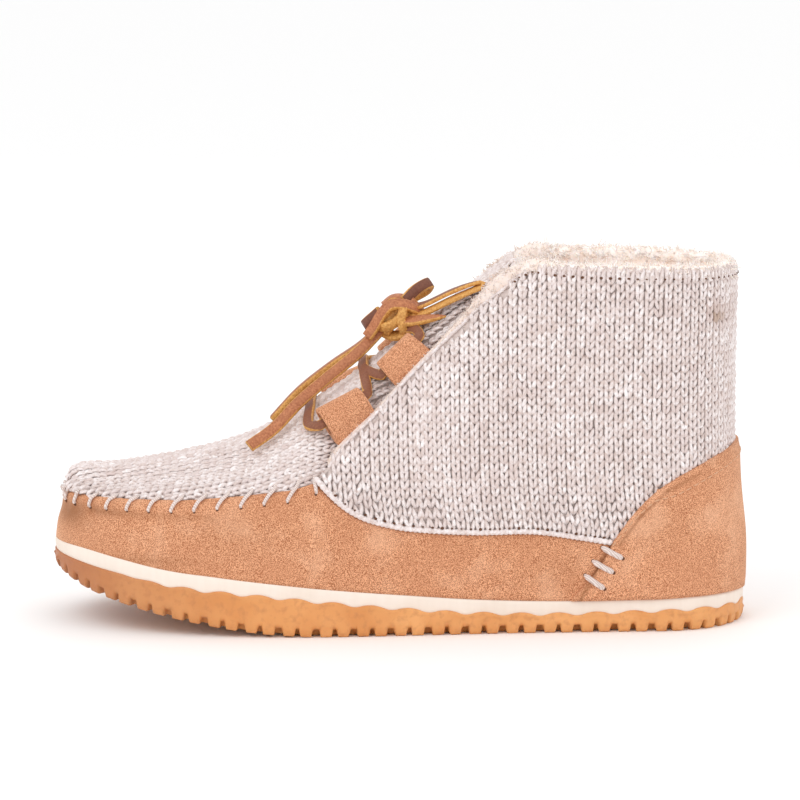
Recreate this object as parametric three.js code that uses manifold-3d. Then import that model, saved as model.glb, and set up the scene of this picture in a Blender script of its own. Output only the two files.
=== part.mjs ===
// A left lace-up bootie slipper: a knit boot with a suede moccasin wall, a suede heel counter,
// a cream midsole strip and a lugged gum outsole. Millimetres, +Z up, toe at -X, outer side at -Y.
import * as THREE from 'three';
import Module from 'manifold-3d';

const wasm = await Module();
wasm.setup();

// Driving dimensions
const length = 265;
const ballHalf = 47.5;
const gap = 0.3;
const featherScale = 0.95;
const leastSwell = 1.006;
const featherEnd = 130.2;
const soleSteps = 36;
const lugPitch = 7.25;
const lugDepth = 2.6;
const lugReach = 7;
const lugGaps = [1.5, 2.6];
const notchSteps = 400;
const gumFootScale = 0.97;
const gumTopScale = 0.994;
const gumSidewallFoot = 3.6;
const gumLeastWall = 1;
const creamFootScale = 0.99;
const creamTopScale = 0.985;
const insoleThickness = 3.2;
const insoleClearance = 1;
const insetTaper = 1.7;
const footRoundness = 2.2;
const suedeThickness = 1.3;
const suedeSeat = 0.42;
const tongueThickness = 4;
const tongueTuck = 0.2;
const tongueClearance = 0.9;
const tongueDipFrom = 0.45;
const tongueDipTo = 0.95;
const tongueStep = 0.03;
const tabLength = 19;
const tabReach = 15;
const tabPly = 1.4;
const tabTilt = THREE.MathUtils.degToRad(34);
const tabMouth = 1.2;
const edgeStep = 0.3;
const laceWidth = 3.2;
const laceLift = 0.7;
const laceSteps = 40;
const laceSides = 6;
const bowSides = 8;
const tunnelTurn = 1.8;
const crossingSection = 7.02;
const crossingShare = 0.3;
const barSection = 5.62;
const barShares = [0.45, 0.2];
const cordSeat = 1.1;
const knotRadius = 6;
const knotCentre = new THREE.Vector3(-1.3, -3, 115.5);
const knotSegments = 12;
const knotEntry = { x: 0.45, y: 0.8, z: -0.4 };
const entryBend = 0.55;
const entryLift = new THREE.Vector3(1, 0, 1);
const lowestEdge = 0.3;
const edgeSlack = 1.02;
const finishes = {
  gum: { color: '#d9924f', roughness: 0.55 },
  cream: { color: '#eddccb', roughness: 0.7 },
  fleece: { color: '#efe2d6', roughness: 0.95 },
  knit: { color: '#dccdc8', roughness: 0.95 },
  suede: { color: '#d59a76', roughness: 0.9 },
  leather: { color: '#b86f45', roughness: 0.6 },
};

// Side view of the sole: underside, top of the gum and top of the cream strip along the foot
const soleProfile = [
  { x: -132.5, bottom: 20.5, gum: 26.8, top: 31.4 },
  { x: -120, bottom: 15.2, gum: 24.8, top: 30.8 },
  { x: -105, bottom: 11, gum: 22.4, top: 28.4 },
  { x: -90, bottom: 7.4, gum: 19.6, top: 25.6 },
  { x: -75, bottom: 4.6, gum: 17.8, top: 23.6 },
  { x: -58, bottom: 2, gum: 16.4, top: 21.9 },
  { x: -42, bottom: 0.5, gum: 14.9, top: 20.2 },
  { x: -30, bottom: 0, gum: 13.6, top: 18.9 },
  { x: 0, bottom: 0, gum: 10.6, top: 16.2 },
  { x: 30, bottom: 0, gum: 8.2, top: 13.8 },
  { x: 60, bottom: 0, gum: 7.4, top: 12.8 },
  { x: 95, bottom: 0, gum: 8, top: 13.1 },
  { x: 115, bottom: 0, gum: 8.2, top: 13.1 },
  { x: 132.5, bottom: 0, gum: 7.6, top: 12.8 },
];

// Plan of the sole: half widths on the outer and inner side, each divided by the height of a
// circle of the sole's length there, so that both ends come out round
const solePlan = [
  { x: -132.5, outer: 59, inner: 82 },
  { x: -122, outer: 60, inner: 77 },
  { x: -110, outer: 60.5, inner: 68 },
  { x: -85, outer: 56.5, inner: 58 },
  { x: -55, outer: 52, inner: 51 },
  { x: -20, outer: 46.8, inner: 42 },
  { x: 15, outer: 42.6, inner: 36.2 },
  { x: 50, outer: 41.6, inner: 36.6 },
  { x: 85, outer: 47, inner: 44.5 },
  { x: 110, outer: 59, inner: 57 },
  { x: 122, outer: 65, inner: 63 },
  { x: 132.5, outer: 68, inner: 66 },
];

// Sections of the last, fanned out from the toe over the ball and the instep to the collar. Each
// is a line in side view from a foot point to a ridge point. The foot point's turn goes along the
// feather line in degrees from toe to heel. Half widths, the widest place, the roundness above it
// and the wall follow.
const lastSections = [
  { turn: 0, ridgeX: -127.6, ridgeZ: 50.5, outer: 0, inner: 0, widest: 0.45, crest: 2.8, wall: 4 },
  { turn: 11.7, ridgeX: -126.2, ridgeZ: 55.2, outer: 14, inner: 18, widest: 0.45, crest: 2.8, wall: 4 },
  { turn: 23.4, ridgeX: -118.5, ridgeZ: 58.6, outer: 24.4, inner: 29, widest: 0.45, crest: 2.8, wall: 4.2 },
  { turn: 37, ridgeX: -102, ridgeZ: 60.6, outer: 35.4, inner: 37.8, widest: 0.45, crest: 2.8, wall: 4.5 },
  { turn: 52, ridgeX: -76.5, ridgeZ: 65.2, outer: 42.4, inner: 42.8, widest: 0.45, crest: 2.7, wall: 5 },
  { turn: 64.5, ridgeX: -51.5, ridgeZ: 73.4, outer: 44.8, inner: 43.6, widest: 0.45, crest: 2.4, wall: 5 },
  { turn: 75.3, ridgeX: -27.5, ridgeZ: 85.5, outer: 44.4, inner: 41.4, widest: 0.46, crest: 2.1, wall: 5.5 },
  { turn: 83.8, ridgeX: -12.5, ridgeZ: 96.8, outer: 43, inner: 39.4, widest: 0.47, crest: 2, wall: 6 },
  { turn: 93.5, ridgeX: 1.5, ridgeZ: 107.2, outer: 41.2, inner: 37.4, widest: 0.48, crest: 2.1, wall: 6 },
  { turn: 104.2, ridgeX: 11.5, ridgeZ: 114.6, outer: 39.2, inner: 36.4, widest: 0.5, crest: 2.6, wall: 6 },
  { turn: 117.4, ridgeX: 19.5, ridgeZ: 120.8, outer: 37.4, inner: 35.6, widest: 0.5, crest: 3.3, wall: 6 },
  { turn: 132.5, ridgeX: 25.5, ridgeZ: 125.2, outer: 36.2, inner: 35, widest: 0.5, crest: 3.9, wall: 6 },
  { turn: 147.5, ridgeX: 29.5, ridgeZ: 128, outer: 35.6, inner: 34.6, widest: 0.5, crest: 4.3, wall: 6 },
  { turn: 162.5, ridgeX: 32, ridgeZ: 129.9, outer: 35.4, inner: 34.4, widest: 0.5, crest: 4.5, wall: 6 },
  { turn: 180, ridgeX: 33.5, ridgeZ: 131, outer: 35.4, inner: 34.4, widest: 0.5, crest: 4.5, wall: 6 },
  { turn: 180, ridgeX: 34.6, ridgeZ: 131.8, outer: 35.6, inner: 34.6, widest: 0.5, crest: 4.5, wall: 6 },
  { turn: 180, ridgeX: 36, ridgeZ: 132.9, outer: 36, inner: 35, widest: 0.5, crest: 4.3, wall: 6 },
  { turn: 180, ridgeX: 38, ridgeZ: 134.3, outer: 36.6, inner: 35.6, widest: 0.5, crest: 4, wall: 6 },
  { turn: 180, ridgeX: 40.2, ridgeZ: 136, outer: 37.2, inner: 36.4, widest: 0.5, crest: 3.4, wall: 6 },
  { turn: 180, ridgeX: 42, ridgeZ: 138.4, outer: 38, inner: 37.4, widest: 0.5, crest: 2.6, wall: 6 },
];
// From the heel's end of the feather line on, the foot point climbs the back of the heel
const heelBack = [
  { u: 13, lean: 0, rise: 0 },
  { u: 14, lean: 0, rise: 0 },
  { u: 15, lean: 0.3, rise: 5 },
  { u: 16, lean: 0.1, rise: 20 },
  { u: 17, lean: -2.2, rise: 43 },
  { u: 18, lean: -2.9, rise: 76 },
  { u: 19, lean: -2.5, rise: 123 },
];
const tipSection = 1e-3;
const throatSection = 6;
const counterStart = 9;
const vampEnd = 11;
const heelSection = 14;
const collarSection = lastSections.length - 1;

// Side view of the plug seam, turning up at the throat into the front edge of the quarters
const frontEdge = [
  { x: -134, z: 50.5 },
  { x: -107, z: 50.5 },
  { x: -80, z: 51 },
  { x: -60, z: 53 },
  { x: -40, z: 55.5 },
  { x: -30, z: 58.5 },
  { x: -22.4, z: 71 },
  { x: -8.5, z: 84 },
  { x: 12.2, z: 105.5 },
  { x: 29.8, z: 123 },
  { x: 45, z: 134.5 },
  { x: 54, z: 140 },
];

// Side view of the suede: hem of the knit over it, seam between wall and counter, counter's top
const knitHem = [
  { x: -36, z: 64 },
  { x: -26.3, z: 54.2 },
  { x: -18.8, z: 47.9 },
  { x: -11, z: 43.9 },
  { x: 2, z: 40.5 },
  { x: 27, z: 38.5 },
  { x: 52, z: 38.3 },
  { x: 79.4, z: 33.8 },
];
const counterSeam = [
  { x: 79.4, z: 33.8 },
  { x: 75.3, z: 28.2 },
  { x: 70.4, z: 19.8 },
  { x: 66, z: 9 },
];
const counterTop = [
  { x: 79.4, z: 33.8 },
  { x: 88.8, z: 46.3 },
  { x: 99.4, z: 55.8 },
  { x: 116, z: 64.5 },
  { x: 136, z: 72 },
];

// Smooth curve through one column of a table
function along(table, key, column, at) {
  const last = table.length - 1;
  const place = THREE.MathUtils.clamp(at, table[0][key], table[last][key]);
  let i = 0;
  while (i < last - 1 && place > table[i + 1][key]) i += 1;
  const slope = (k) => {
    const before = table[Math.max(k - 1, 0)];
    const after = table[Math.min(k + 1, last)];
    return (after[column] - before[column]) / (after[key] - before[key]);
  };
  const span = table[i + 1][key] - table[i][key];
  const s = (place - table[i][key]) / span;
  const rise = table[i + 1][column] - table[i][column];
  const bend = s * (1 - s);
  const start = slope(i) * span - rise;
  const end = slope(i + 1) * span - rise;
  return table[i][column] + rise * s + bend * ((1 - s) * start - s * end);
}

// Half width of the sole's outline on one side
function soleHalf(x, side) {
  const round = Math.sqrt(Math.max(0, 1 - (2 * x / length) ** 2));
  return round * along(solePlan, 'x', side < 0 ? 'outer' : 'inner', x);
}
const soleStations = Array.from({ length: soleSteps + 1 },
  (_, i) => -length / 2 * Math.cos(Math.PI * i / soleSteps));
const widestSole = { '-1': 0, 1: 0 };
for (const side of [-1, 1]) {
  widestSole[side] = Math.max(...soleStations.map((x) => soleHalf(x, side)));
}
const outlineHalf = (x, side) => soleHalf(x, side) * ballHalf / widestSole[side];
const soleHeight = (column, x) => Math.max(0, along(soleProfile, 'x', column, x));

// Sections as one smooth run, mirrored at the toe so that it closes round
const mirroredToe = { ...lastSections[1] };
for (const column of ['turn', 'outer', 'inner']) mirroredToe[column] *= -1;
const sectionRun = [mirroredToe, ...lastSections].map((section, i) => ({ ...section, u: i - 1 }));

function sectionAt(u, side) {
  const read = (column) => along(sectionRun, 'u', column, u);
  const onFeather = u <= heelSection;
  const turn = THREE.MathUtils.degToRad(THREE.MathUtils.clamp(read('turn'), 0, 180));
  const footX = -featherEnd * Math.cos(turn) + (onFeather ? 0 : along(heelBack, 'u', 'lean', u));
  const footHalf = onFeather ? featherScale * outlineHalf(footX * length / 2 / featherEnd, side) : 0;
  const half = Math.max(read(side < 0 ? 'outer' : 'inner'), footHalf * leastSwell, 1e-6);
  return {
    footX,
    footZ: soleHeight('top', footX) + gap + Math.max(along(heelBack, 'u', 'rise', u), 0),
    ridgeX: read('ridgeX'),
    ridgeZ: read('ridgeZ'),
    half,
    widest: read('widest'),
    crest: read('crest'),
    wall: read('wall'),
    footRatio: footHalf / half,
  };
}

// A round-cornered quarter curve: how far up and how far out at a given angle
function roundCorner(angle, power) {
  const up = Math.sin(angle);
  const out = Math.cos(angle);
  const size = (up ** power + Math.max(out, 0) ** power) ** (1 / power);
  return [up / size, Math.max(out, 0) / size];
}
const footCut = (section) => (1 - section.footRatio ** footRoundness) ** (1 / footRoundness);

// Point of the last: u runs along the sections, v from the foot (-1) past the widest place (0)
// to the ridge (1), side is -1 outside and 1 inside
function lastPoint(u, v, side) {
  const atTip = u < tipSection;
  const section = sectionAt(Math.max(u, tipSection), atTip ? -1 : side);
  let t;
  let out;
  if (v >= 0) {
    const [up, wide] = roundCorner(v * Math.PI / 2, section.crest);
    t = section.widest + (1 - section.widest) * up;
    out = wide;
  } else {
    const cut = footCut(section);
    const [down, wide] = roundCorner(-v * Math.atan2(cut, section.footRatio), footRoundness);
    t = section.widest * (1 - down / cut);
    out = wide;
  }
  const half = atTip ? 0 : section.half;
  return new THREE.Vector3(
    THREE.MathUtils.lerp(section.footX, section.ridgeX, t),
    side * half * out,
    THREE.MathUtils.lerp(section.footZ, section.ridgeZ, t));
}

function lastNormal(u, v, side) {
  const step = 1e-2;
  const u0 = Math.max(u - step, 0);
  const u1 = Math.min(u + step, collarSection);
  const v0 = Math.max(v - step, -1);
  const v1 = Math.min(v + step, 1);
  const alongFoot = lastPoint(u1, v, side).sub(lastPoint(u0, v, side));
  const upSide = lastPoint(u, v1, side).sub(lastPoint(u, v0, side));
  if (u === 0) alongFoot.set(0, side, 0);
  if (v === 1) upSide.set(0, -side, 0);
  if (v === -1 && u >= heelSection) upSide.set(0, side, 0);
  return alongFoot.cross(upSide).multiplyScalar(-side).normalize();
}

function offsetPoint(u, v, side, distance) {
  const point = lastPoint(u, v, side);
  const lowest = u <= heelSection ? sectionAt(u, side).footZ : -Infinity;
  point.addScaledVector(lastNormal(u, v, side), distance);
  point.z = Math.max(point.z, lowest);
  return point;
}

// Height on a section where its line crosses the plug seam or the front edge of the quarters
function edgeHeight(u, side) {
  const section = sectionAt(Math.max(u, tipSection), side);
  const run = { x: section.ridgeX - section.footX, z: section.ridgeZ - section.footZ };
  for (let i = 0; i + 1 < frontEdge.length; i += 1) {
    const a = frontEdge[i];
    const b = frontEdge[i + 1];
    const edge = { x: b.x - a.x, z: b.z - a.z };
    const cross = run.x * edge.z - run.z * edge.x;
    const away = { x: a.x - section.footX, z: a.z - section.footZ };
    const t = (away.x * edge.z - away.z * edge.x) / cross;
    const s = (away.x * run.z - away.z * run.x) / cross;
    if (s >= 0 && s <= 1 && t > lowestEdge && t <= edgeSlack) return Math.min(t, 1);
  }
  return 1;
}

function edgeV(u, side) {
  const section = sectionAt(Math.max(u, tipSection), side);
  const t = edgeHeight(u, side);
  if (t < section.widest) return 0;
  const up = (t - section.widest) / (1 - section.widest);
  const out = Math.max(0, 1 - up ** section.crest) ** (1 / section.crest);
  return Math.atan2(up, out) / (Math.PI / 2);
}

// Closed solid from outer and inner points that share one grid of cells
function shell(rows, keep) {
  const outer = [];
  const inner = [];
  const known = new Map();
  const id = (node) => {
    const key = node.outer.toArray().map((c) => Math.round(c * 1000)).join();
    if (!known.has(key)) {
      known.set(key, outer.length);
      outer.push(node.outer);
      inner.push(node.inner);
    }
    return known.get(key);
  };
  const ids = rows.map((row) => row.map(id));
  const faces = [];
  const addFace = (a, b, c) => {
    if (a !== b && b !== c && c !== a) faces.push([a, b, c]);
  };
  for (let i = 0; i + 1 < ids.length; i += 1) {
    for (let j = 0; j + 1 < ids[i].length; j += 1) {
      if (!keep(i, j)) continue;
      const [a, b] = [ids[i][j], ids[i + 1][j]];
      const [c, d] = [ids[i + 1][j + 1], ids[i][j + 1]];
      if (outer[a].distanceTo(outer[c]) < outer[b].distanceTo(outer[d])) {
        addFace(a, b, c);
        addFace(a, c, d);
      } else {
        addFace(a, b, d);
        addFace(b, c, d);
      }
    }
  }
  const edges = new Set(faces.flatMap(([a, b, c]) => [`${a},${b}`, `${b},${c}`, `${c},${a}`]));
  const count = outer.length;
  const solid = [];
  for (const [a, b, c] of faces) {
    solid.push([a, b, c], [c + count, b + count, a + count]);
    for (const [p, q] of [[a, b], [b, c], [c, a]]) {
      if (edges.has(`${q},${p}`)) continue;
      solid.push([q, p, p + count], [q, p + count, q + count]);
    }
  }
  return closedSolid([...outer, ...inner], solid);
}

// Closed solid from points and faces, turned right side out
function closedSolid(points, faces) {
  const volume = faces.reduce((sum, [a, b, c]) =>
    sum + points[a].dot(new THREE.Vector3().crossVectors(points[b], points[c])), 0);
  const ordered = volume < 0 ? faces.map(([a, b, c]) => [a, c, b]) : faces;
  const used = [...new Set(ordered.flat())];
  const place = new Map(used.map((index, i) => [index, i]));
  const mesh = new wasm.Mesh({
    numProp: 3,
    vertProperties: new Float32Array(used.flatMap((index) => points[index].toArray())),
    triVerts: new Uint32Array(ordered.flat().map((index) => place.get(index))),
  });
  return new wasm.Manifold(mesh);
}

function solidOf(geometry) {
  const flat = geometry.index ? geometry.toNonIndexed() : geometry;
  const position = flat.getAttribute('position');
  const points = [];
  const known = new Map();
  const corners = [];
  for (let i = 0; i < position.count; i += 1) {
    const point = new THREE.Vector3().fromBufferAttribute(position, i);
    const key = point.toArray().map((c) => Math.round(c * 1000)).join();
    if (!known.has(key)) {
      known.set(key, points.length);
      points.push(point);
    }
    corners.push(known.get(key));
  }
  const faces = [];
  for (let i = 0; i < corners.length; i += 3) {
    const [a, b, c] = corners.slice(i, i + 3);
    if (a !== b && b !== c && c !== a) faces.push([a, b, c]);
  }
  return closedSolid(points, faces);
}

const shoe = new THREE.Group();
const cords = [];
function addPiece(name, solid, finish) {
  const mesh = solid.getMesh();
  const geometry = new THREE.BufferGeometry();
  geometry.setAttribute('position', new THREE.BufferAttribute(mesh.vertProperties, 3));
  geometry.setIndex(new THREE.BufferAttribute(mesh.triVerts, 1));
  geometry.computeVertexNormals();
  const piece = new THREE.Mesh(geometry, new THREE.MeshStandardMaterial({ ...finish, metalness: 0 }));
  piece.name = name;
  shoe.add(piece);
  return piece;
}

// Solid between rings that follow the sole's outline, each scaled in plan and with its own height
function ringSolid(rings) {
  const points = [];
  const ringIds = rings.map(({ scale, inset, height }) => {
    const sides = [-1, 1].map((side) => soleStations.map((x) => {
      const taper = Math.min(1, insetTaper * Math.sqrt(Math.max(0, 1 - (2 * x / length) ** 2)));
      const half = Math.max(0, outlineHalf(x, side) * scale - inset * taper);
      const px = x * (scale - 2 * inset / length);
      points.push(new THREE.Vector3(px, side * half, height(px)));
      return points.length - 1;
    }));
    sides[1][0] = sides[0][0];
    sides[1][soleSteps] = sides[0][soleSteps];
    return sides;
  });
  const faces = [];
  const quad = (a, b, c, d) => {
    for (const face of [[a, b, c], [a, c, d]]) {
      if (new Set(face).size === 3) faces.push(face);
    }
  };
  for (let i = 0; i < soleSteps; i += 1) {
    for (let k = 0; k + 1 < ringIds.length; k += 1) {
      const [low, high] = [ringIds[k], ringIds[k + 1]];
      quad(low[0][i], low[0][i + 1], high[0][i + 1], high[0][i]);
      quad(low[1][i + 1], low[1][i], high[1][i], high[1][i + 1]);
    }
    const [bottom, top] = [ringIds[0], ringIds[ringIds.length - 1]];
    quad(bottom[0][i + 1], bottom[0][i], bottom[1][i], bottom[1][i + 1]);
    quad(top[0][i], top[0][i + 1], top[1][i + 1], top[1][i]);
  }
  return closedSolid(points, faces);
}

// Gum outsole, notched all round its lower edge so that lugs stand between the notches
const sidewallFoot = (x) =>
  Math.min(soleHeight('bottom', x) + gumSidewallFoot, soleHeight('gum', x) - gumLeastWall);
const gumBody = ringSolid([
  { scale: gumFootScale, inset: 0, height: (x) => soleHeight('bottom', x) },
  { scale: 1, inset: 0, height: sidewallFoot },
  { scale: gumTopScale, inset: 0, height: (x) => soleHeight('gum', x) },
]);
const notches = [];
for (const side of [-1, 1]) {
  const fine = Array.from({ length: notchSteps + 1 },
    (_, i) => -length / 2 * Math.cos(Math.PI * i / notchSteps));
  let travelled = 0;
  let count = 0;
  for (let i = 1; i < fine.length; i += 1) {
    const from = new THREE.Vector2(fine[i - 1], side * outlineHalf(fine[i - 1], side));
    const to = new THREE.Vector2(fine[i], side * outlineHalf(fine[i], side));
    travelled += from.distanceTo(to);
    if (travelled < lugPitch * (count + 0.5)) continue;
    const width = lugGaps[count % lugGaps.length];
    const heading = Math.atan2(to.y - from.y, to.x - from.x);
    const low = soleHeight('bottom', to.x);
    const notch = new THREE.BoxGeometry(width, lugReach, 2 * lugDepth);
    notch.rotateZ(heading);
    notch.translate(to.x, to.y, low);
    notches.push(solidOf(notch));
    count += 1;
  }
}
const outsole = gumBody.subtract(wasm.Manifold.union(notches));
addPiece('outsole', outsole, finishes.gum);

// Cream midsole strip
addPiece('midsole', ringSolid([
  { scale: creamFootScale, inset: 0, height: (x) => soleHeight('gum', x) + gap },
  { scale: 1, inset: 0, height: (x) => (soleHeight('gum', x) + soleHeight('top', x)) / 2 },
  { scale: creamTopScale, inset: 0, height: (x) => soleHeight('top', x) },
]), finishes.cream);

// Fleece footbed inside the wall
const footbedInset = Math.max(...lastSections.map((section) => section.wall)) + insoleClearance;
const footbedUnder = (x) => soleHeight('top', x) + gap;
addPiece('insole', ringSolid([
  { scale: featherScale, inset: footbedInset, height: footbedUnder },
  { scale: featherScale, inset: footbedInset, height: (x) => footbedUnder(x) + insoleThickness },
]), finishes.fleece);

// Grid of the last between two heights on both sides, from an outer to an inner offset
function lastGrid(sections, columns, outerOffset, innerOffset) {
  return sections.map((u) => columns.map(({ side, v }) => {
    const height = v(u, side);
    const node = (offset) => offsetPoint(u, height, side, offset(u, height, side));
    return { outer: node(outerOffset), inner: node(innerOffset) };
  }));
}
const steps = (from, to, count) =>
  Array.from({ length: count + 1 }, (_, i) => from + (to - from) * i / count);
const blend = (edge0, edge1, at) => THREE.MathUtils.smoothstep(at, edge0, edge1);

// Upper: sides and toe plug up to the throat, then the two quarters round the heel
const wallShares = [0, 0.14, 0.3, 0.46, 0.61, 0.74, 0.85, 0.94, 1];
const wallCells = wallShares.length - 1;
const plugCells = 4;
const sideColumn = (side, share) => ({ side, v: (u) => -1 + share * (edgeV(u, side) + 1) });
const plugColumn = (side, share) => ({ side, v: (u) => edgeV(u, side) + share * (1 - edgeV(u, side)) });
const plugShares = steps(0, 1, plugCells).slice(1);
const upperColumns = [
  ...wallShares.map((share) => sideColumn(-1, share)),
  ...plugShares.map((share) => plugColumn(-1, share)),
  ...plugShares.slice(0, -1).reverse().map((share) => plugColumn(1, share)),
  ...wallShares.slice().reverse().map((share) => sideColumn(1, share)),
];
const upperSections = [
  ...steps(0, 2, 6),
  ...steps(2, heelSection - 1, 2 * (heelSection - 3)).slice(1),
  ...steps(heelSection - 1, heelSection, 2).slice(1),
  ...steps(heelSection, collarSection, 2 * (collarSection - heelSection)).slice(1),
];
const wallDepth = (u) => -sectionAt(u, -1).wall;
const inSlot = (i, j) => upperSections[i] >= throatSection
  && j >= wallCells && j < upperColumns.length - 1 - wallCells;
const upperGrid = lastGrid(upperSections, upperColumns, () => 0, wallDepth);
addPiece('upper', shell(upperGrid, (i, j) => !inSlot(i, j)), finishes.knit);

// Tongue: follows the ridge at its middle and dips behind the quarters at its sides
const tongueHalf = [0.25, 0.5, 0.65, 0.8, 0.95, 1 + tongueTuck];
const tongueShares = [...tongueHalf.map((share) => -share).reverse(), 0, ...tongueHalf];
const tongueColumns = tongueShares.map((share) => ({
  side: share < 0 ? -1 : 1,
  v: (u, side) => 1 - Math.abs(share) * (1 - edgeV(u, side)),
}));
const dipShare = (u, v, side) => (1 - v) / (1 - edgeV(u, side));
const tongueDip = (u, v, side) => -(sectionAt(u, side).wall + tongueClearance)
  * blend(tongueDipFrom, tongueDipTo, dipShare(u, v, side));
const tongueBack = (u, v, side) => tongueDip(u, v, side) - tongueThickness;
const tongueSections = steps(throatSection + tongueStep, collarSection, 16);
const tongueGrid = lastGrid(tongueSections, tongueColumns, tongueDip, tongueBack);
addPiece('tongue', shell(tongueGrid, () => true), finishes.knit);

// Slab between the outer and the inner side whose side view is a given outline
function sideCutter(outline) {
  const shape = new THREE.Shape(outline.map(({ x, z }) => new THREE.Vector2(x, z)));
  const slab = new THREE.ExtrudeGeometry(shape, { depth: 4 * ballHalf, bevelEnabled: false });
  slab.rotateX(Math.PI / 2);
  slab.translate(0, 2 * ballHalf, 0);
  return solidOf(slab);
}

// Suede skin over the sides of the last, cut to its panels
const skinColumns = [
  ...wallShares.map((share) => sideColumn(-1, share)).reverse(),
  ...wallShares.map((share) => sideColumn(1, share)),
];
const skin = (sections, keep) => shell(
  lastGrid(sections, skinColumns, () => suedeSeat + suedeThickness, () => suedeSeat), keep);
const underFoot = wallCells;
const vampSections = upperSections.filter((u) => u <= vampEnd);
const seamShift = gap / 2;
const vampSkin = skin(vampSections, (i, j) => j !== underFoot);
addPiece('suede_vamp', vampSkin.intersect(sideCutter([
  { x: -length, z: 0 },
  { x: -length, z: knitHem[0].z },
  ...knitHem,
  ...counterSeam.slice(1).map(({ x, z }) => ({ x: x - seamShift, z })),
  { x: counterSeam.at(-1).x - seamShift, z: 0 },
])), finishes.suede);
const counterSections = upperSections.filter((u) => u >= counterStart);
const counterSkin = skin(counterSections,
  (i, j) => j !== underFoot || counterSections[i] >= heelSection);
addPiece('heel_counter', counterSkin.intersect(sideCutter([
  ...counterSeam.slice().reverse().map(({ x, z }) => ({ x: x + seamShift, z })),
  ...counterTop.slice(1),
  { x: counterTop.at(-1).x, z: counterSeam.at(-1).z },
])), finishes.suede);

// Section u at which the front edge of a quarter stands at a given x
function sectionAtEdge(x, side) {
  let low = throatSection;
  let high = collarSection;
  for (let i = 0; i < 40; i += 1) {
    const middle = (low + high) / 2;
    if (lastPoint(middle, edgeV(middle, side), side).x < x) low = middle;
    else high = middle;
  }
  return (low + high) / 2;
}

// Lace tabs: a strip folded into a loop, its tails at the front edge of the quarter
const tabPlaces = [{ name: 'lower', x: -15.5 }, { name: 'upper', x: 5.5 }];
const tabTunnel = { near: 5.6, half: 2.3 };
const tabSeat = { depth: 2.1, out: 1.5 };
const tunnels = {};
for (const { name, x } of tabPlaces) {
  for (const [sideName, side] of [['outer', -1], ['inner', 1]]) {
    const u = sectionAtEdge(x, side);
    const at = (where) => lastPoint(where, edgeV(where, side), side);
    const corner = at(u);
    const run = at(u + edgeStep).sub(at(u - edgeStep)).normalize();
    const normal = lastNormal(u, edgeV(u, side), side);
    const out = new THREE.Vector3().crossVectors(run, normal).normalize();
    if (out.z < 0) out.negate();
    const reach = out.clone().multiplyScalar(Math.cos(tabTilt));
    reach.addScaledVector(normal, Math.sin(tabTilt));
    const rise = new THREE.Vector3().crossVectors(reach, run).normalize();
    if (rise.dot(normal) < 0) rise.negate();
    const base = corner.clone().addScaledVector(normal, -tabSeat.depth);
    base.addScaledVector(out, tabSeat.out);
    const outerHalf = tabTunnel.half + tabPly;
    const outline = new THREE.Shape();
    outline.moveTo(0, -tabPly);
    outline.lineTo(tabTunnel.near, -outerHalf);
    outline.lineTo(tabReach - outerHalf, -outerHalf);
    outline.absarc(tabReach - outerHalf, 0, outerHalf, -Math.PI / 2, Math.PI / 2, false);
    outline.lineTo(tabTunnel.near, outerHalf);
    outline.lineTo(0, tabPly);
    const hole = new THREE.Path();
    hole.moveTo(tabTunnel.near - tabMouth, 0);
    hole.lineTo(tabTunnel.near, -tabTunnel.half);
    hole.lineTo(tabReach - outerHalf, -tabTunnel.half);
    hole.absarc(tabReach - outerHalf, 0, tabTunnel.half, -Math.PI / 2, Math.PI / 2, false);
    hole.lineTo(tabTunnel.near, tabTunnel.half);
    outline.holes.push(hole);
    const strip = new THREE.ExtrudeGeometry(outline,
      { depth: tabLength, bevelEnabled: false, curveSegments: 6 });
    strip.translate(0, 0, -tabLength / 2);
    const handed = new THREE.Vector3().crossVectors(reach, rise);
    strip.applyMatrix4(new THREE.Matrix4().makeBasis(reach, rise, handed).setPosition(base));
    addPiece(`tab_${name}_${sideName}`, solidOf(strip), finishes.suede);
    const middle = base.clone().addScaledVector(reach, (tabTunnel.near + tabReach - tabPly) / 2);
    tunnels[`${name}_${sideName}`] = { middle, run };
  }
}

// Round solid along a smooth route
function strand(route, stepCount, sides) {
  const corners = steps(0, 2 * Math.PI, sides).slice(1);
  const ring = new THREE.Shape(corners.map((a) =>
    new THREE.Vector2(Math.cos(a), Math.sin(a)).multiplyScalar(laceWidth / 2)));
  const path = new THREE.CatmullRomCurve3(route);
  return solidOf(new THREE.ExtrudeGeometry(ring, { steps: stepCount, extrudePath: path }));
}
const fromTunnel = (name, distance) =>
  tunnels[name].middle.clone().addScaledVector(tunnels[name].run, distance);
const mouth = tabLength / 2;

// Lace over the tongue: share runs from the front edge outside (-1) to the one inside (1)
function overTongue(u, share) {
  const side = share < 0 ? -1 : 1;
  const v = 1 - Math.abs(share) * (1 - edgeV(u, side));
  return offsetPoint(u, v, side, laceWidth / 2 + laceLift);
}

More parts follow.
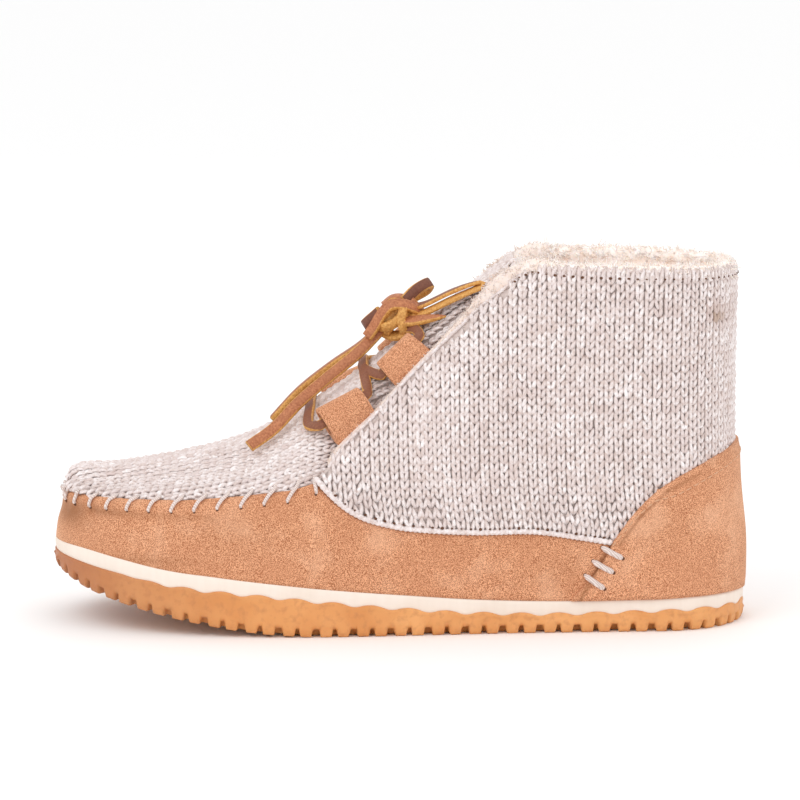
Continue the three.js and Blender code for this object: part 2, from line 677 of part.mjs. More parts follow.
// Lace through the tabs: up to the knot at both sides, one crossing and a bar at the bottom
function halfLace(side) {
  const [near, far] = side < 0 ? ['outer', 'inner'] : ['inner', 'outer'];
  const entry = new THREE.Vector3(knotEntry.x, side * knotEntry.y, knotEntry.z);
  entry.setLength(knotRadius + laceWidth / 2 + gap).add(knotCentre);
  const downTab = [mouth + tunnelTurn, mouth, mouth / 2, -mouth / 2, -mouth, -mouth - tunnelTurn];
  const throughTab = (name) => downTab.map((distance) => fromTunnel(name, distance));
  const upperTab = throughTab(`upper_${near}`);
  return [
    entry,
    entry.clone().lerp(upperTab[0], entryBend).add(entryLift),
    ...upperTab,
    overTongue(crossingSection, side * crossingShare),
    overTongue(crossingSection, 0),
    overTongue(crossingSection, -side * crossingShare),
    ...throughTab(`lower_${far}`),
    ...barShares.map((share) => overTongue(barSection, -side * share)),
    overTongue(barSection, 0),
  ];
}
const [outerLace, innerLace] = [-1, 1].map((side) => strand(halfLace(side), laceSteps, laceSides));
addPiece('lace_crossings', outerLace.add(innerLace), finishes.leather);

// Bow: knot, two loops and two ends, each a piece of the same lace
const knotBall = new THREE.SphereGeometry(knotRadius, knotSegments, knotSegments * 2 / 3);
knotBall.translate(knotCentre.x, knotCentre.y, knotCentre.z);
cords.push(addPiece('lace_knot', solidOf(knotBall), finishes.leather));
const point = (x, y, z) => new THREE.Vector3(x, y, z);
const atKnot = (x, y, z) => point(x, y, z).setLength(knotRadius + cordSeat).add(knotCentre);
const bowRoutes = [
  { name: 'lace_end_outer', steps: 10, route: [
    atKnot(-0.75, -0.25, -0.55), point(-15.4, -9, 102.9), point(-26.7, -13, 94), point(-38, -19, 85),
    point(-47.3, -24, 75.8), point(-56.4, -29, 69.8)] },
  { name: 'lace_end_inner', steps: 9, route: [
    atKnot(-0.8, 0.35, -0.4), point(-14.2, 2, 105), point(-26, 3, 96.4), point(-38.5, 4.5, 86.8),
    point(-49.3, 6.5, 76.6)] },
  { name: 'lace_loop_inner', steps: 16, route: [
    atKnot(0.45, 0.35, 0.8), point(6, 3, 125), point(11.3, 5.5, 127.6), point(10, 9.5, 124.6),
    point(0, 10.5, 119), point(-8, 9.5, 114), point(-13, 6.5, 111.4), atKnot(-0.9, 0.45, 0.25)] },
  { name: 'lace_loop_outer', steps: 16, route: [
    atKnot(0.8, -0.2, 0.5), point(10, -8.5, 121.5), point(20, -14.5, 127), point(29, -19, 130.6),
    point(31.8, -21.5, 128.6), point(27, -21.5, 125), point(18, -17.5, 120), point(10, -12, 115.6),
    atKnot(0.75, -0.62, -0.1)] },
];
for (const { name, steps: count, route } of bowRoutes) {
  cords.push(addPiece(name, strand(route, count, bowSides), finishes.leather));
}

// The origin lies on the floor under the middle of the shoe without its bow
const box = new THREE.Box3();
for (const piece of shoe.children) {
  if (!cords.includes(piece)) box.expandByObject(piece);
}
const centre = box.getCenter(new THREE.Vector3());
shoe.position.set(-centre.x, -centre.y, -box.min.z);

export default shoe;
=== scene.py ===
import math
import bmesh
import bpy
import numpy as np
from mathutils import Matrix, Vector


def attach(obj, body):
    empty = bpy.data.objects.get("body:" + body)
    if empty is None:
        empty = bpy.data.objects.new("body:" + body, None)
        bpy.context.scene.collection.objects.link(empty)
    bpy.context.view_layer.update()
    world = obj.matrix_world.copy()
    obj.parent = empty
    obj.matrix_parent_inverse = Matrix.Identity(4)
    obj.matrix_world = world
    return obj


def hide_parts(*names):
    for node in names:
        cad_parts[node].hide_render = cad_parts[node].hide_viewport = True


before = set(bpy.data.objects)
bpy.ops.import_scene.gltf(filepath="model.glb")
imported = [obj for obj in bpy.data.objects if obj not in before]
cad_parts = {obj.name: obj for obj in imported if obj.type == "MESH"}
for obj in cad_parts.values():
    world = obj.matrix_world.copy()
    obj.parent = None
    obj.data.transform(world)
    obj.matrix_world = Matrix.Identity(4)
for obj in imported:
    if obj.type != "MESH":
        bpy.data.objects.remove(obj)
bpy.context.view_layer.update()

# Studio: a long lens a pace and a half from the shoe's outer side and a little above its collar,
# a white floor, an even white surround, one large soft lamp above the toe and two fainter ones.
scene = bpy.context.scene
scene.view_settings.view_transform = "Standard"
camera_aim = Vector((0.0002, 0, 0.0832))
lamp_aim = Vector((0, 0, 0.06))
camera_data = bpy.data.cameras.new("camera")
camera_data.sensor_width = 36
camera_data.lens = 178.3
camera = bpy.data.objects.new("camera", camera_data)
camera.location = (0, -1.5, 0.3)
camera.rotation_euler = (camera_aim - camera.location).to_track_quat("-Z", "Y").to_euler()
scene.collection.objects.link(camera)
scene.camera = camera

surround = bpy.data.worlds.new("white surround")
surround.use_nodes = True
surround.node_tree.nodes["Background"].inputs["Color"].default_value = (1, 1, 1, 1)
surround.node_tree.nodes["Background"].inputs["Strength"].default_value = 1.0
scene.world = surround

for lamp_name, lamp_place, lamp_size, lamp_watts in (
        ("key lamp", (-0.75, -0.95, 1.35), 0.9, 6),
        ("fill lamp", (0.9, -1.3, 0.7), 1.2, 2),
        ("back lamp", (0.3, 1.3, 1.0), 1.2, 2)):
    lamp_data = bpy.data.lights.new(lamp_name, "AREA")
    lamp_data.size = lamp_size
    lamp_data.energy = lamp_watts
    lamp = bpy.data.objects.new(lamp_name, lamp_data)
    lamp.location = lamp_place
    lamp.rotation_euler = (lamp_aim - lamp.location).to_track_quat("-Z", "Y").to_euler()
    scene.collection.objects.link(lamp)


def linear(code):
    """sRGB hex code as linear colour with alpha."""
    shares = [int(code[i:i + 2], 16) / 255 for i in (1, 3, 5)]
    return [s / 12.92 if s <= 0.04045 else ((s + 0.055) / 1.055) ** 2.4 for s in shares] + [1.0]


def add_node(tree, kind, inputs=None, **settings):
    """Adds a node, sets its options and sets or links its inputs."""
    made = tree.nodes.new(kind)
    for name, value in settings.items():
        setattr(made, name, value)
    for socket, value in (inputs or {}).items():
        if isinstance(value, bpy.types.NodeSocket):
            tree.links.new(value, made.inputs[socket])
        else:
            made.inputs[socket].default_value = value
    return made


def start_material(name, **values):
    """A material with its main shader, whose even values are set on the shader itself."""
    material = bpy.data.materials.new(name)
    material.use_nodes = True
    shader = material.node_tree.nodes["Principled BSDF"]
    for socket, value in values.items():
        shader.inputs[socket.replace("_", " ")].default_value = value
    return material, material.node_tree, shader


floor_paint, tree, shader = start_material("matt white paint", Roughness=0.9)
shader.inputs["Base Color"].default_value = linear("#fdfdfd")
floor_half = 9
floor_mesh = bpy.data.meshes.new("floor")
floor_mesh.from_pydata([(-floor_half, -floor_half, 0), (floor_half, -floor_half, 0),
                        (floor_half, floor_half, 0), (-floor_half, floor_half, 0)], [], [(0, 1, 2, 3)])
floor_mesh.materials.append(floor_paint)
floor = bpy.data.objects.new("floor", floor_mesh)
scene.collection.objects.link(floor)

# Lace ends and bow loops: one flat strip of rawhide, 4.5 mm wide and 2 mm thick, waxed brown on its
# grain face and golden on its flesh side and cut edges. They leave the knot over the instep.
MM = 0.001
lace_width = 4.5
lace_thickness = 2.0
folded_thickness = 1.4
taper_from = 0.35
knot_centre = np.array([-1.3, -3.0, 115.5])
knot_reach = 7.1

# Rawhide lace: the grain face is burnished brown with fine pores, the flesh is fibrous and golden.
lace_leather, tree, shader = start_material("rawhide lace leather", Roughness=0.58)
where = add_node(tree, "ShaderNodeTexCoord").outputs["Object"]
pores = add_node(tree, "ShaderNodeTexNoise", {"Vector": where, "Scale": 1300, "Detail": 5}).outputs["Fac"]
clouds = add_node(tree, "ShaderNodeTexNoise", {"Vector": where, "Scale": 130, "Detail": 2}).outputs["Fac"]
speckle = add_node(tree, "ShaderNodeMapRange", {"Value": pores, 1: 0.32, 2: 0.68}).outputs[0]
flesh = add_node(tree, "ShaderNodeMix", {0: speckle, 6: linear("#b87a34"), 7: linear("#e6b062")},
                 data_type="RGBA").outputs[2]
grain = add_node(tree, "ShaderNodeMix", {0: speckle, 6: linear("#9c5733"), 7: linear("#c98459")},
                 data_type="RGBA").outputs[2]
cloudy = add_node(tree, "ShaderNodeMapRange", {"Value": clouds, 1: 0.4, 2: 0.7, 4: 0.5}).outputs[0]
# Painted shade: strips that lie in shade have their grain darkened towards deep brown.
painted_lace_shade = add_node(tree, "ShaderNodeAttribute", attribute_name="painted_lace_shade").outputs["Fac"]
for share, code in ((cloudy, "#a76844"), (painted_lace_shade, "#5f352b")):
    grain = add_node(tree, "ShaderNodeMix", {0: share, 6: grain, 7: linear(code)},
                     data_type="RGBA").outputs[2]
share = add_node(tree, "ShaderNodeAttribute", attribute_name="grain").outputs["Fac"]
tone = add_node(tree, "ShaderNodeMix", {0: share, 6: flesh, 7: grain}, data_type="RGBA").outputs[2]
tree.links.new(tone, shader.inputs["Base Color"])
relief = add_node(tree, "ShaderNodeBump", {"Height": pores, "Strength": 0.35, "Distance": 0.0004})
tree.links.new(relief.outputs[0], shader.inputs["Normal"])


def along(keys, values, at):
    """Smooth curve through a column of values."""
    keys = np.asarray(keys, float)
    values = np.asarray(values, float)
    at = np.clip(at, keys[0], keys[-1])
    slopes = np.diff(values) / np.diff(keys)
    slopes = np.concatenate([slopes[:1], (values[2:] - values[:-2]) / (keys[2:] - keys[:-2]), slopes[-1:]])
    i = np.clip(np.searchsorted(keys, at) - 1, 0, len(keys) - 2)
    span = keys[i + 1] - keys[i]
    s = (at - keys[i]) / span
    rise = values[i + 1] - values[i]
    bend = (1 - s) * (slopes[i] * span - rise) - s * (slopes[i + 1] * span - rise)
    return values[i] + rise * s + s * (1 - s) * bend


def distances(points):
    """Distance travelled along a run of points."""
    return np.concatenate([[0], np.cumsum(np.linalg.norm(np.diff(points, axis=0), axis=1))])


def columns_along(keys, rows, at):
    """Smooth curve through rows of values, column by column."""
    return np.stack([along(keys, column, at) for column in np.asarray(rows, float).T], -1)


def straight_along(keys, rows, at):
    """Straight runs from row to row of values, column by column."""
    return np.stack([np.interp(at, keys, column) for column in np.asarray(rows, float).T], -1)


def route_through(points, spacing):
    """Evenly spaced points on a smooth route, and where each lies among the given points."""
    points = np.asarray(points, float)
    keys = distances(points)
    fine = np.linspace(0, keys[-1], 40 * len(points))
    travelled = distances(columns_along(keys, points, fine))
    count = max(3, int(round(travelled[-1] / spacing)) + 1)
    even = np.interp(np.linspace(0, travelled[-1], count), travelled, fine)
    return columns_along(keys, points, even), even, keys


def unit(vectors):
    """Vectors of length 1 in the same directions."""
    return vectors / np.maximum(np.linalg.norm(vectors, axis=-1, keepdims=True), 1e-9)


# Section of the strip: corners across its width and through its thickness, and whether the face
# after each corner is grain
strip_section = [(-1, 0.5, 0), (-0.86, 1, 1), (0, 1.06, 1), (0.86, 1, 0), (1, 0.5, 0),
                 (1, -0.5, 0), (0.86, -1, 0), (0, -1.06, 0), (-0.86, -1, 0), (-1, -0.5, 0)]


def ribbon(points, facing, width=lace_width, thickness=lace_thickness, tip=1.0, spacing=1.3):
    """Flat strip along a route: facing gives the way its grain face looks at each given point."""
    path, even, keys = route_through(points, spacing)
    if np.ndim(facing) == 1:
        facing = [facing] * len(points)
    look = straight_along(keys, facing, even)
    heading = unit(np.gradient(path, axis=0))
    up = unit(look - heading * np.sum(look * heading, axis=1, keepdims=True))
    across = np.cross(heading, up)
    tapered = np.clip((np.linspace(0, 1, len(path)) - taper_from) / (1 - taper_from), 0, 1)
    narrow = 1 - (1 - tip) * tapered ** 1.5
    rings = []
    for sideways, through, _ in strip_section:
        rings.append(path + across * (sideways * width / 2 * narrow)[:, None]
                     + up * (through * thickness / 2 * narrow ** 0.5)[:, None])
    corners = len(strip_section)
    made = np.stack(rings, 1).reshape(-1, 3)
    faces = []
    grains = []
    for i in range(len(path) - 1):
        for k, (_, _, is_grain) in enumerate(strip_section):
            after = (k + 1) % corners
            here, ahead = i * corners, (i + 1) * corners
            faces.append((here + k, here + after, ahead + after, ahead + k))
            grains.append(float(is_grain))
    last_ring = (len(path) - 1) * corners
    faces.append(tuple(range(corners))[::-1])
    faces.append(tuple(last_ring + k for k in range(corners)))
    grains += [0.0, 0.0]
    return made, faces, grains, path


def settle(name, mesh):
    """A mesh as a finished piece that rides on the shoe."""
    piece = bpy.data.objects.new(name, mesh)
    scene.collection.objects.link(piece)
    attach(piece, "root")
    return piece


def add_piece(name, points, faces, material, slot, replaced=()):
    """A finished piece from points in millimetres, riding on the shoe, its faces turned outwards."""
    mesh = bpy.data.meshes.new(name)
    places = (np.asarray(points, float) * MM).tolist()
    mesh.from_pydata(places, [], [tuple(map(int, face)) for face in faces])
    form = bmesh.new()
    form.from_mesh(mesh)
    if form.calc_volume(signed=True) < 0:
        bmesh.ops.reverse_faces(form, faces=form.faces)
        form.to_mesh(mesh)
    form.free()
    mesh.polygons.foreach_set("use_smooth", [True] * len(mesh.polygons))
    mesh.materials.append(material)
    piece = settle(name, mesh)
    if replaced:
        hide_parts(*replaced)
    return piece


def mark(piece, name, values, domain="POINT"):
    """Gives every point or face of a piece a value that its material reads."""
    piece.data.attributes.new(name, "FLOAT", domain).data.foreach_set("value", values)


def add_lace(name, strips, replaced, painted_lace_shade=0.0):
    """Strips of lace as one piece with its grain face marked, and how much painted shade darkens its grain.
    """
    points = []
    faces = []
    grains = []
    for made, strip_faces, strip_grains, _ in strips:
        faces += [tuple(i + len(points) for i in face) for face in strip_faces]
        points += made.tolist()
        grains += strip_grains
    piece = add_piece(name, points, faces, lace_leather, "lace", replaced)
    mark(piece, "grain", grains, "FACE")
    mark(piece, "painted_lace_shade", [painted_lace_shade] * len(grains), "FACE")
    return piece


def at_knot(x, y, z):
    """Place on the knot's surface in a given direction from its centre."""
    return knot_centre + unit(np.array([x, y, z], float)) * knot_reach


# Each strip: its piece, its real length, where it ends, how much painted shade darkens its grain, its
# thickness, the way its grain looks, and its route from the knot
bow_strips = [
    ("lace_end_outer", 0.070, "bare", 0.0, lace_thickness, (-0.25, -1, 0.25),
     [at_knot(-0.75, -0.25, -0.55), (-15.4, -9, 102.9), (-26.7, -13, 94), (-38, -19, 85),
      (-47.3, -24, 75.8), (-56.4, -29, 69.8)]),
    ("lace_end_inner", 0.056, "bare", 0.2, lace_thickness, (-0.75, -0.1, 0.8),
     [at_knot(-0.8, 0.35, -0.4), (-14.2, 2, 105), (-26.4, 3, 96.4), (-38.7, 4.5, 86.4),
      (-48.9, 6.5, 75.2)]),
    ("lace_loop_inner", 0.057, "object", 0.8, lace_thickness, None,
     [at_knot(0.45, 0.35, 0.8), (6, 3, 125), (11.3, 5.5, 127.6), (10, 9.5, 124.6),
      (0, 10.5, 119), (-8, 9.5, 114), (-13, 6.5, 111.4), at_knot(-0.9, 0.45, 0.25)]),
    ("lace_loop_outer", 0.068, "object", 0.6, folded_thickness,
     [(-0.6, -0.1, 0.8), (-0.5, -0.1, 0.9), (-0.4, -0.1, 0.9), (0.1, -0.1, 0.9), (1, 0, 0),
      (0.3, 0.2, -0.9), (0.4, 0.3, -0.85), (0.4, 0.3, -0.85), (0.4, 0.3, -0.8)],
     [at_knot(0.8, -0.2, 0.5), (10, -8.5, 121.3), (20, -14.5, 126.8), (29, -19, 130.4),
      (31.8, -20.6, 129.9), (28, -20, 128), (19, -15.8, 123.4), (10, -10.8, 118.4),
      at_knot(0.75, -0.55, 0.05)]),
]
for strip_name, strip_length, strip_end, painted_lace_shade, thickness, strip_facing, strip_route in bow_strips:
    if strip_facing is None:
        middle = np.mean(strip_route, axis=0)
        strip_facing = [np.asarray(p) - middle for p in strip_route]
    strip = ribbon(strip_route, strip_facing, thickness=thickness)
    piece = add_lace(strip_name + "_strip", [strip], [strip_name], painted_lace_shade)

# Knot of the bow: the same strip wound round itself, with one strap arching over the top, golden
# wraps pulled tight across the front and a pointed tail end lying on the tongue.
heart_width = 8
heart_thickness = 6.5
knot_spacing = 0.9

# Each strap: the way its grain looks, its width, the share of it left at its tip, and its route
knot_straps = [
    ((-0.2, -0.75, 0.65), 4.5, 1.0,
     [(8.5, -6, 117.5), (5.5, -8.6, 119.8), (1.2, -9.8, 121.2), (-3.2, -9.8, 120.9), (-6.6, -9.2, 117.6),
      (-9.5, -8.4, 112.6), (-12.2, -8.2, 108.6)]),
    ((0.15, 1, -0.1), 3.4, 1.0,
     [(1.6, -5, 121.4), (1.4, -10.6, 119.6), (0.7, -11.8, 115.6), (1.6, -11.2, 111.6), (2.4, -6, 108.6)]),
    ((0.1, 1, 0.35), 3.8, 1.0,
     [(-8.4, -5.4, 112.4), (-5.2, -9.6, 112.6), (-1.2, -10.6, 114.6), (1.6, -9.6, 117.6),
      (3.6, -5.6, 120)]),
    ((-0.6, -0.2, 0.8), 4.5, 1.0,
     [(-6.2, 1.5, 119.4), (-2.4, 1.6, 122.2), (2.8, 0.6, 121.6), (6.6, -0.6, 118.2)]),
    ((0.05, -0.55, 0.83), 5.2, 0.12,
     [(0.6, -9.8, 114.8), (5.4, -12.6, 115.2), (10.8, -15.6, 116.4), (17.4, -18.8, 117.8)]),
    ((0.5, 0.5, -0.7), 4.2, 1.0,
     [(4.4, -6, 119), (4.6, -9.2, 115), (2.4, -9, 110.4), (-2.2, -6.8, 108.8), (-6.4, -3.4, 110.2)]),
]
knot_heart = ribbon([(-6.5, -4.5, 111), (-3.5, -4.8, 114.5), (0, -4.6, 117), (4.5, -4, 118.6)],
                    (-0.5, 0, 0.85), width=heart_width, thickness=heart_thickness)
add_lace("lace_knot_straps",
         [ribbon(route, facing, width=width, tip=tip, spacing=knot_spacing)
          for facing, width, tip, route in knot_straps] + [knot_heart], ["lace_knot"])

# Outsole: gum rubber moulded in one piece, with a wavy upper edge lapping the cream strip, a row of
# lugs all round its lower edge in pairs, small raised diamonds above them, and tread blocks below.
length = 265
ball_half = 47.5
sole_profile = {
    "x": [-132.5, -120, -105, -90, -75, -58, -42, -30, 0, 30, 60, 95, 115, 132.5],
    "bottom": [20.5, 15.2, 11, 7.4, 4.6, 2, 0.5, 0, 0, 0, 0, 0, 0, 0],
    "gum": [26.8, 24.8, 22.4, 19.6, 17.8, 16.4, 14.9, 13.6, 10.6, 8.2, 7.4, 8, 8.2, 7.6],
    "top": [31.4, 30.8, 28.4, 25.6, 23.6, 21.9, 20.2, 18.9, 16.2, 13.8, 12.8, 13.1, 13.1, 12.8],
}
sole_plan = {
    "x": [-132.5, -122, -110, -85, -55, -20, 15, 50, 85, 110, 122, 132.5],
    -1: [59, 60, 60.5, 56.5, 52, 46.8, 42.6, 41.6, 47, 59, 65, 68],
    1: [82, 77, 68, 58, 51, 42, 36.2, 36.6, 44.5, 57, 63, 66],
}
wave_pitch = 14.0
wave_height = 0.62
lug_gap_halves = (0.75, 1.3)
lug_edges = (-0.15, 0.45)
lug_depth = 2.8
diamond_pitch = 29.0
diamond_half = 3.4
diamond_shift = 5
sole_points = 1200


def sole_height(column, x):
    """Height of a line of the sole's profile, never below the floor."""
    return np.maximum(0, along(sole_profile["x"], sole_profile[column], x))


def sole_half(x, side):
    """Half width of the sole's plan before it is scaled to the ball."""
    round_ends = np.sqrt(np.maximum(0, 1 - (2 * x / length) ** 2))
    return round_ends * along(sole_plan["x"], sole_plan[side], x)


coarse_stations = -length / 2 * np.cos(np.linspace(0, np.pi, 37))
widest_sole = {side: sole_half(coarse_stations, side).max() for side in (-1, 1)}


def outline_half(x, side):
    """Half width of the sole's outline."""
    return sole_half(x, side) * ball_half / widest_sole[side]


def smoothstep(low, high, at):
    """Soft step from 0 to 1 between two values."""
    s = np.clip((at - low) / (high - low), 0, 1)
    return s * s * (3 - 2 * s)


fine_stations = -length / 2 * np.cos(np.linspace(0, np.pi, 3000))
outline = np.concatenate([
    np.stack([fine_stations, -outline_half(fine_stations, -1)], -1),
    np.stack([fine_stations, outline_half(fine_stations, 1)], -1)[-2::-1]])
outline_run = distances(outline)
sole_girth = outline_run[-1]
sole_travel = np.linspace(0, sole_girth, sole_points, endpoint=False)
sole_edge = straight_along(outline_run, outline, sole_travel)
edge_heading = unit(np.roll(sole_edge, -1, 0) - np.roll(sole_edge, 1, 0))
edge_out = np.stack([edge_heading[:, 1], -edge_heading[:, 0]], -1)
edge_x = sole_edge[:, 0]


def sole_rings(rings):
    """Closed form from rings round the sole, each set in from its outline and at its own height."""
    points = []
    for inset, height in rings:
        place = sole_edge - edge_out * np.broadcast_to(inset, edge_x.shape)[:, None]
        points.append(np.column_stack([place, np.broadcast_to(height, edge_x.shape)]))
    index = np.arange(len(rings) * sole_points).reshape(len(rings), sole_points)
    after = np.roll(index, -1, axis=1)
    faces = np.stack([index[:-1], after[:-1], after[1:], index[1:]], -1).reshape(-1, 4).tolist()
    for ring, turn in ((index[0], -1), (index[-1], 1)):
        for i in range(sole_points // 2):
            face = [ring[i], ring[i + 1], ring[-i - 1], ring[-i % sole_points]]
            face = list(dict.fromkeys(face))
            faces.append(face[::turn])
    return np.concatenate(points), faces


wave_count = round(sole_girth / wave_pitch)
wave = wave_height * np.sin(2 * np.pi * sole_travel * wave_count / sole_girth)
wave = (wave - 0.25 * np.abs(wave)) * smoothstep(0.08, 0.2, edge_x / length + 0.5)
gum_edge = sole_height("gum", edge_x) + wave
lug_count = 2 * wave_count
lug_place = sole_travel * lug_count / sole_girth
lug_gap = np.where(np.floor(lug_place) % 2 == 0, *lug_gap_halves)
lug = smoothstep(lug_gap + lug_edges[0], lug_gap + lug_edges[1],
                 np.abs(lug_place % 1 - 0.5) * sole_girth / lug_count)
from_diamond = np.abs((sole_travel + diamond_shift) % diamond_pitch - diamond_pitch / 2)
diamond = np.maximum(0, 1 - from_diamond / diamond_half)
gum_low = sole_height("bottom", edge_x)
gum_rise = gum_edge - gum_low

# Rings from the hollow under the sole, over a ridge behind the lugs, round these and up to the edge:
# distance in from the outline, and height
gum_points, gum_faces = sole_rings([
    (9.0, gum_low + lug_depth),
    (7.6, gum_low + lug_depth),
    (7.0, gum_low + 0.4),
    (4.6, gum_low + 0.4),
    (4.2, gum_low + lug_depth * (1 - lug)),
    (1.9 + 0.5 * (1 - lug), gum_low + lug_depth * (1 - lug)),
    (1.0 + 1.2 * (1 - lug), gum_low + 0.25 + lug_depth * (1 - lug)),
    (0.35 + 1.3 * (1 - lug), gum_low + 1.7 + 1.2 * (1 - lug)),
    (0.25 - 0.5 * diamond + 0.5 * (1 - lug), gum_low + np.minimum(3.6, 0.5 * gum_rise)),
    (0.3 - 0.9 * diamond, gum_low + np.minimum(4.6, 0.6 * gum_rise)),
    (0.45 - 0.3 * diamond, gum_low + np.minimum(6.2, 0.72 * gum_rise)),
    (0.35, gum_edge - 0.2 * gum_rise),
    (0.2, gum_edge - 0.55),
    (0.3, gum_edge - 0.15),
    (0.75, gum_edge),
    (2.0, gum_edge - 0.1),
])

# Gum rubber: amber, a little translucent, smooth from the mould, darker towards the toe.
gum_rubber, tree, shader = start_material("moulded gum rubber", Roughness=0.5, Subsurface_Weight=0.12)
shader.inputs["Subsurface Radius"].default_value = (0.004, 0.0018, 0.0006)
where = add_node(tree, "ShaderNodeTexCoord").outputs["Object"]
cloud = add_node(tree, "ShaderNodeTexNoise", {"Vector": where, "Scale": 45, "Detail": 3}).outputs["Fac"]
mottle = add_node(tree, "ShaderNodeTexNoise", {"Vector": where, "Scale": 420, "Detail": 4}).outputs["Fac"]
warm = add_node(tree, "ShaderNodeMapRange", {"Value": cloud, 1: 0.35, 2: 0.65}).outputs[0]
tone = add_node(tree, "ShaderNodeMix", {0: warm, 6: linear("#d68f50"), 7: linear("#e6a566")},
                data_type="RGBA").outputs[2]
spot = add_node(tree, "ShaderNodeMapRange", {"Value": mottle, 1: 0.5, 2: 0.72, 4: 0.45}).outputs[0]
along_sole = add_node(tree, "ShaderNodeSeparateXYZ", {"Vector": where}).outputs["X"]
darker_to_toe = add_node(tree, "ShaderNodeMapRange", {"Value": along_sole, 1: -0.06, 2: -0.13, 4: 0.9}).outputs[0]
for share, code in ((spot, "#b87646"), (darker_to_toe, "#a8643b")):
    tone = add_node(tree, "ShaderNodeMix", {0: share, 6: tone, 7: linear(code)},
                    data_type="RGBA").outputs[2]
tree.links.new(tone, shader.inputs["Base Color"])
relief = add_node(tree, "ShaderNodeBump", {"Height": mottle, "Strength": 0.2, "Distance": 0.0004})
tree.links.new(relief.outputs[0], shader.inputs["Normal"])
add_piece("gum_outsole", gum_points, gum_faces, gum_rubber, "gum", ["outsole"])

# Midsole: a strip of cream foam between gum and upper, its lower edge following the gum's waves and
# its upper edge rounded to a narrow ledge round the suede.
cream_top = sole_height("top", edge_x)
cream_points, cream_faces = sole_rings([
    (6.0, gum_edge - 0.5),
    (0.9, gum_edge - 0.5),
    (0.65, gum_edge + 0.25),
    (0.45, gum_edge + 0.9),
    (0.35, (gum_edge + cream_top) / 2),
    (0.3, cream_top - 1.3),
    (0.5, cream_top - 0.6),
    (1.0, cream_top - 0.12),
    (1.7, cream_top),
    (7.0, cream_top),
])

# Cream foam: matt skin with faint upright drag marks from trimming.
cream_foam, tree, shader = start_material("trimmed cream foam", Roughness=0.72)
where = add_node(tree, "ShaderNodeTexCoord").outputs["Object"]
drag = add_node(tree, "ShaderNodeMapping", {"Vector": where, "Scale": (1, 1, 0.15)}).outputs[0]
streak = add_node(tree, "ShaderNodeTexNoise", {"Vector": drag, "Scale": 380, "Detail": 3}).outputs["Fac"]
cloud = add_node(tree, "ShaderNodeTexNoise", {"Vector": where, "Scale": 40, "Detail": 2}).outputs["Fac"]
tone = add_node(tree, "ShaderNodeMix", {0: streak, 6: linear("#eadccf"), 7: linear("#f3e7dc")},
                data_type="RGBA").outputs[2]
aged = add_node(tree, "ShaderNodeMapRange", {"Value": cloud, 1: 0.45, 2: 0.75, 4: 0.4}).outputs[0]
tone = add_node(tree, "ShaderNodeMix", {0: aged, 6: tone, 7: linear("#dfccbb")},
                data_type="RGBA").outputs[2]
tree.links.new(tone, shader.inputs["Base Color"])
relief = add_node(tree, "ShaderNodeBump", {"Height": streak, "Strength": 0.04, "Distance": 0.0004})
tree.links.new(relief.outputs[0], shader.inputs["Normal"])
add_piece("cream_midsole", cream_points, cream_faces, cream_foam, "cream", ["midsole"])

# Upper: one lasted boot of chunky knit over a wall painted in the shade between its stitches, lined with
# fleece. Its surface runs in sections fanned from the toe over the instep to the collar; every panel below is
# laid on it.
feather_end = 130.2
feather_scale = 0.95
least_swell = 1.006
seat_gap = 0.3
foot_roundness = 2.2
throat_section = 6
heel_section = 14
collar_section = 19
last = {
    "turn": [0, 11.7, 23.4, 37, 52, 64.5, 75.3, 83.8, 93.5, 104.2, 117.4, 132.5, 147.5, 162.5] + [180] * 6,
    "ridge_x": [-127.6, -126.2, -118.5, -102, -76.5, -51.5, -27.5, -12.5, 1.5, 11.5, 19.5, 25.5, 29.5, 32,
                33.5, 34.6, 36, 38, 40.2, 42],
    "ridge_z": [50.5, 55.2, 58.6, 60.6, 65.2, 73.4, 85.5, 96.8, 107.2, 114.6, 120.8, 125.2, 128, 129.9,
                131, 131.8, 132.9, 134.3, 136, 138.4],
    -1: [0, 14, 24.4, 35.4, 42.4, 44.8, 44.4, 43, 41.2, 39.2, 37.4, 36.2, 35.6, 35.4, 35.4, 35.6, 36, 36.6,
         37.2, 38],
    1: [0, 18, 29, 37.8, 42.8, 43.6, 41.4, 39.4, 37.4, 36.4, 35.6, 35, 34.6, 34.4, 34.4, 34.6, 35, 35.6,
        36.4, 37.4],
    "widest": [0.45] * 6 + [0.46, 0.47, 0.48] + [0.5] * 11,
    "crest": [2.8, 2.8, 2.8, 2.8, 2.7, 2.4, 2.1, 2, 2.1, 2.6, 3.3, 3.9, 4.3, 4.5, 4.5, 4.5, 4.3, 4, 3.4,
              2.6],
    "wall": [4, 4, 4.2, 4.5, 5, 5, 5.5] + [6] * 13,
}
heel_back = {
    "u": [13, 14, 15, 16, 17, 18, 19],
    "lean": [0, 0, 0.3, 0.1, -2.2, -2.9, -2.5],
    "rise": [0, 0, 5, 20, 43, 76, 123],
}
front_edge = {
    "x": [-134, -107, -80, -60, -40, -30, -22.4, -8.5, 12.2, 29.8, 45, 54],
    "z": [50.5, 50.5, 51, 53, 55.5, 58.5, 71, 84, 105.5, 123, 134.5, 140],
}
knit_hem = {
    "x": [-36, -26.3, -18.8, -11, 2, 27, 52, 79.4],
    "z": [64, 54.2, 47.9, 43.9, 40.5, 38.5, 38.3, 33.8],
}
counter_top = {"x": [79.4, 88.8, 99.4, 116, 136], "z": [33.8, 46.3, 55.8, 64.5, 72]}
counter_foot_x = 67.6
hem_raise = 2.5
shade_wall_face = -0.7
shade_wall_depth = -2.4
ease_reach = 5.0
section_steps = 12
section_run = np.linspace(0, collar_section, collar_section * section_steps + 1)
height_run = np.linspace(-1, 1, 121)


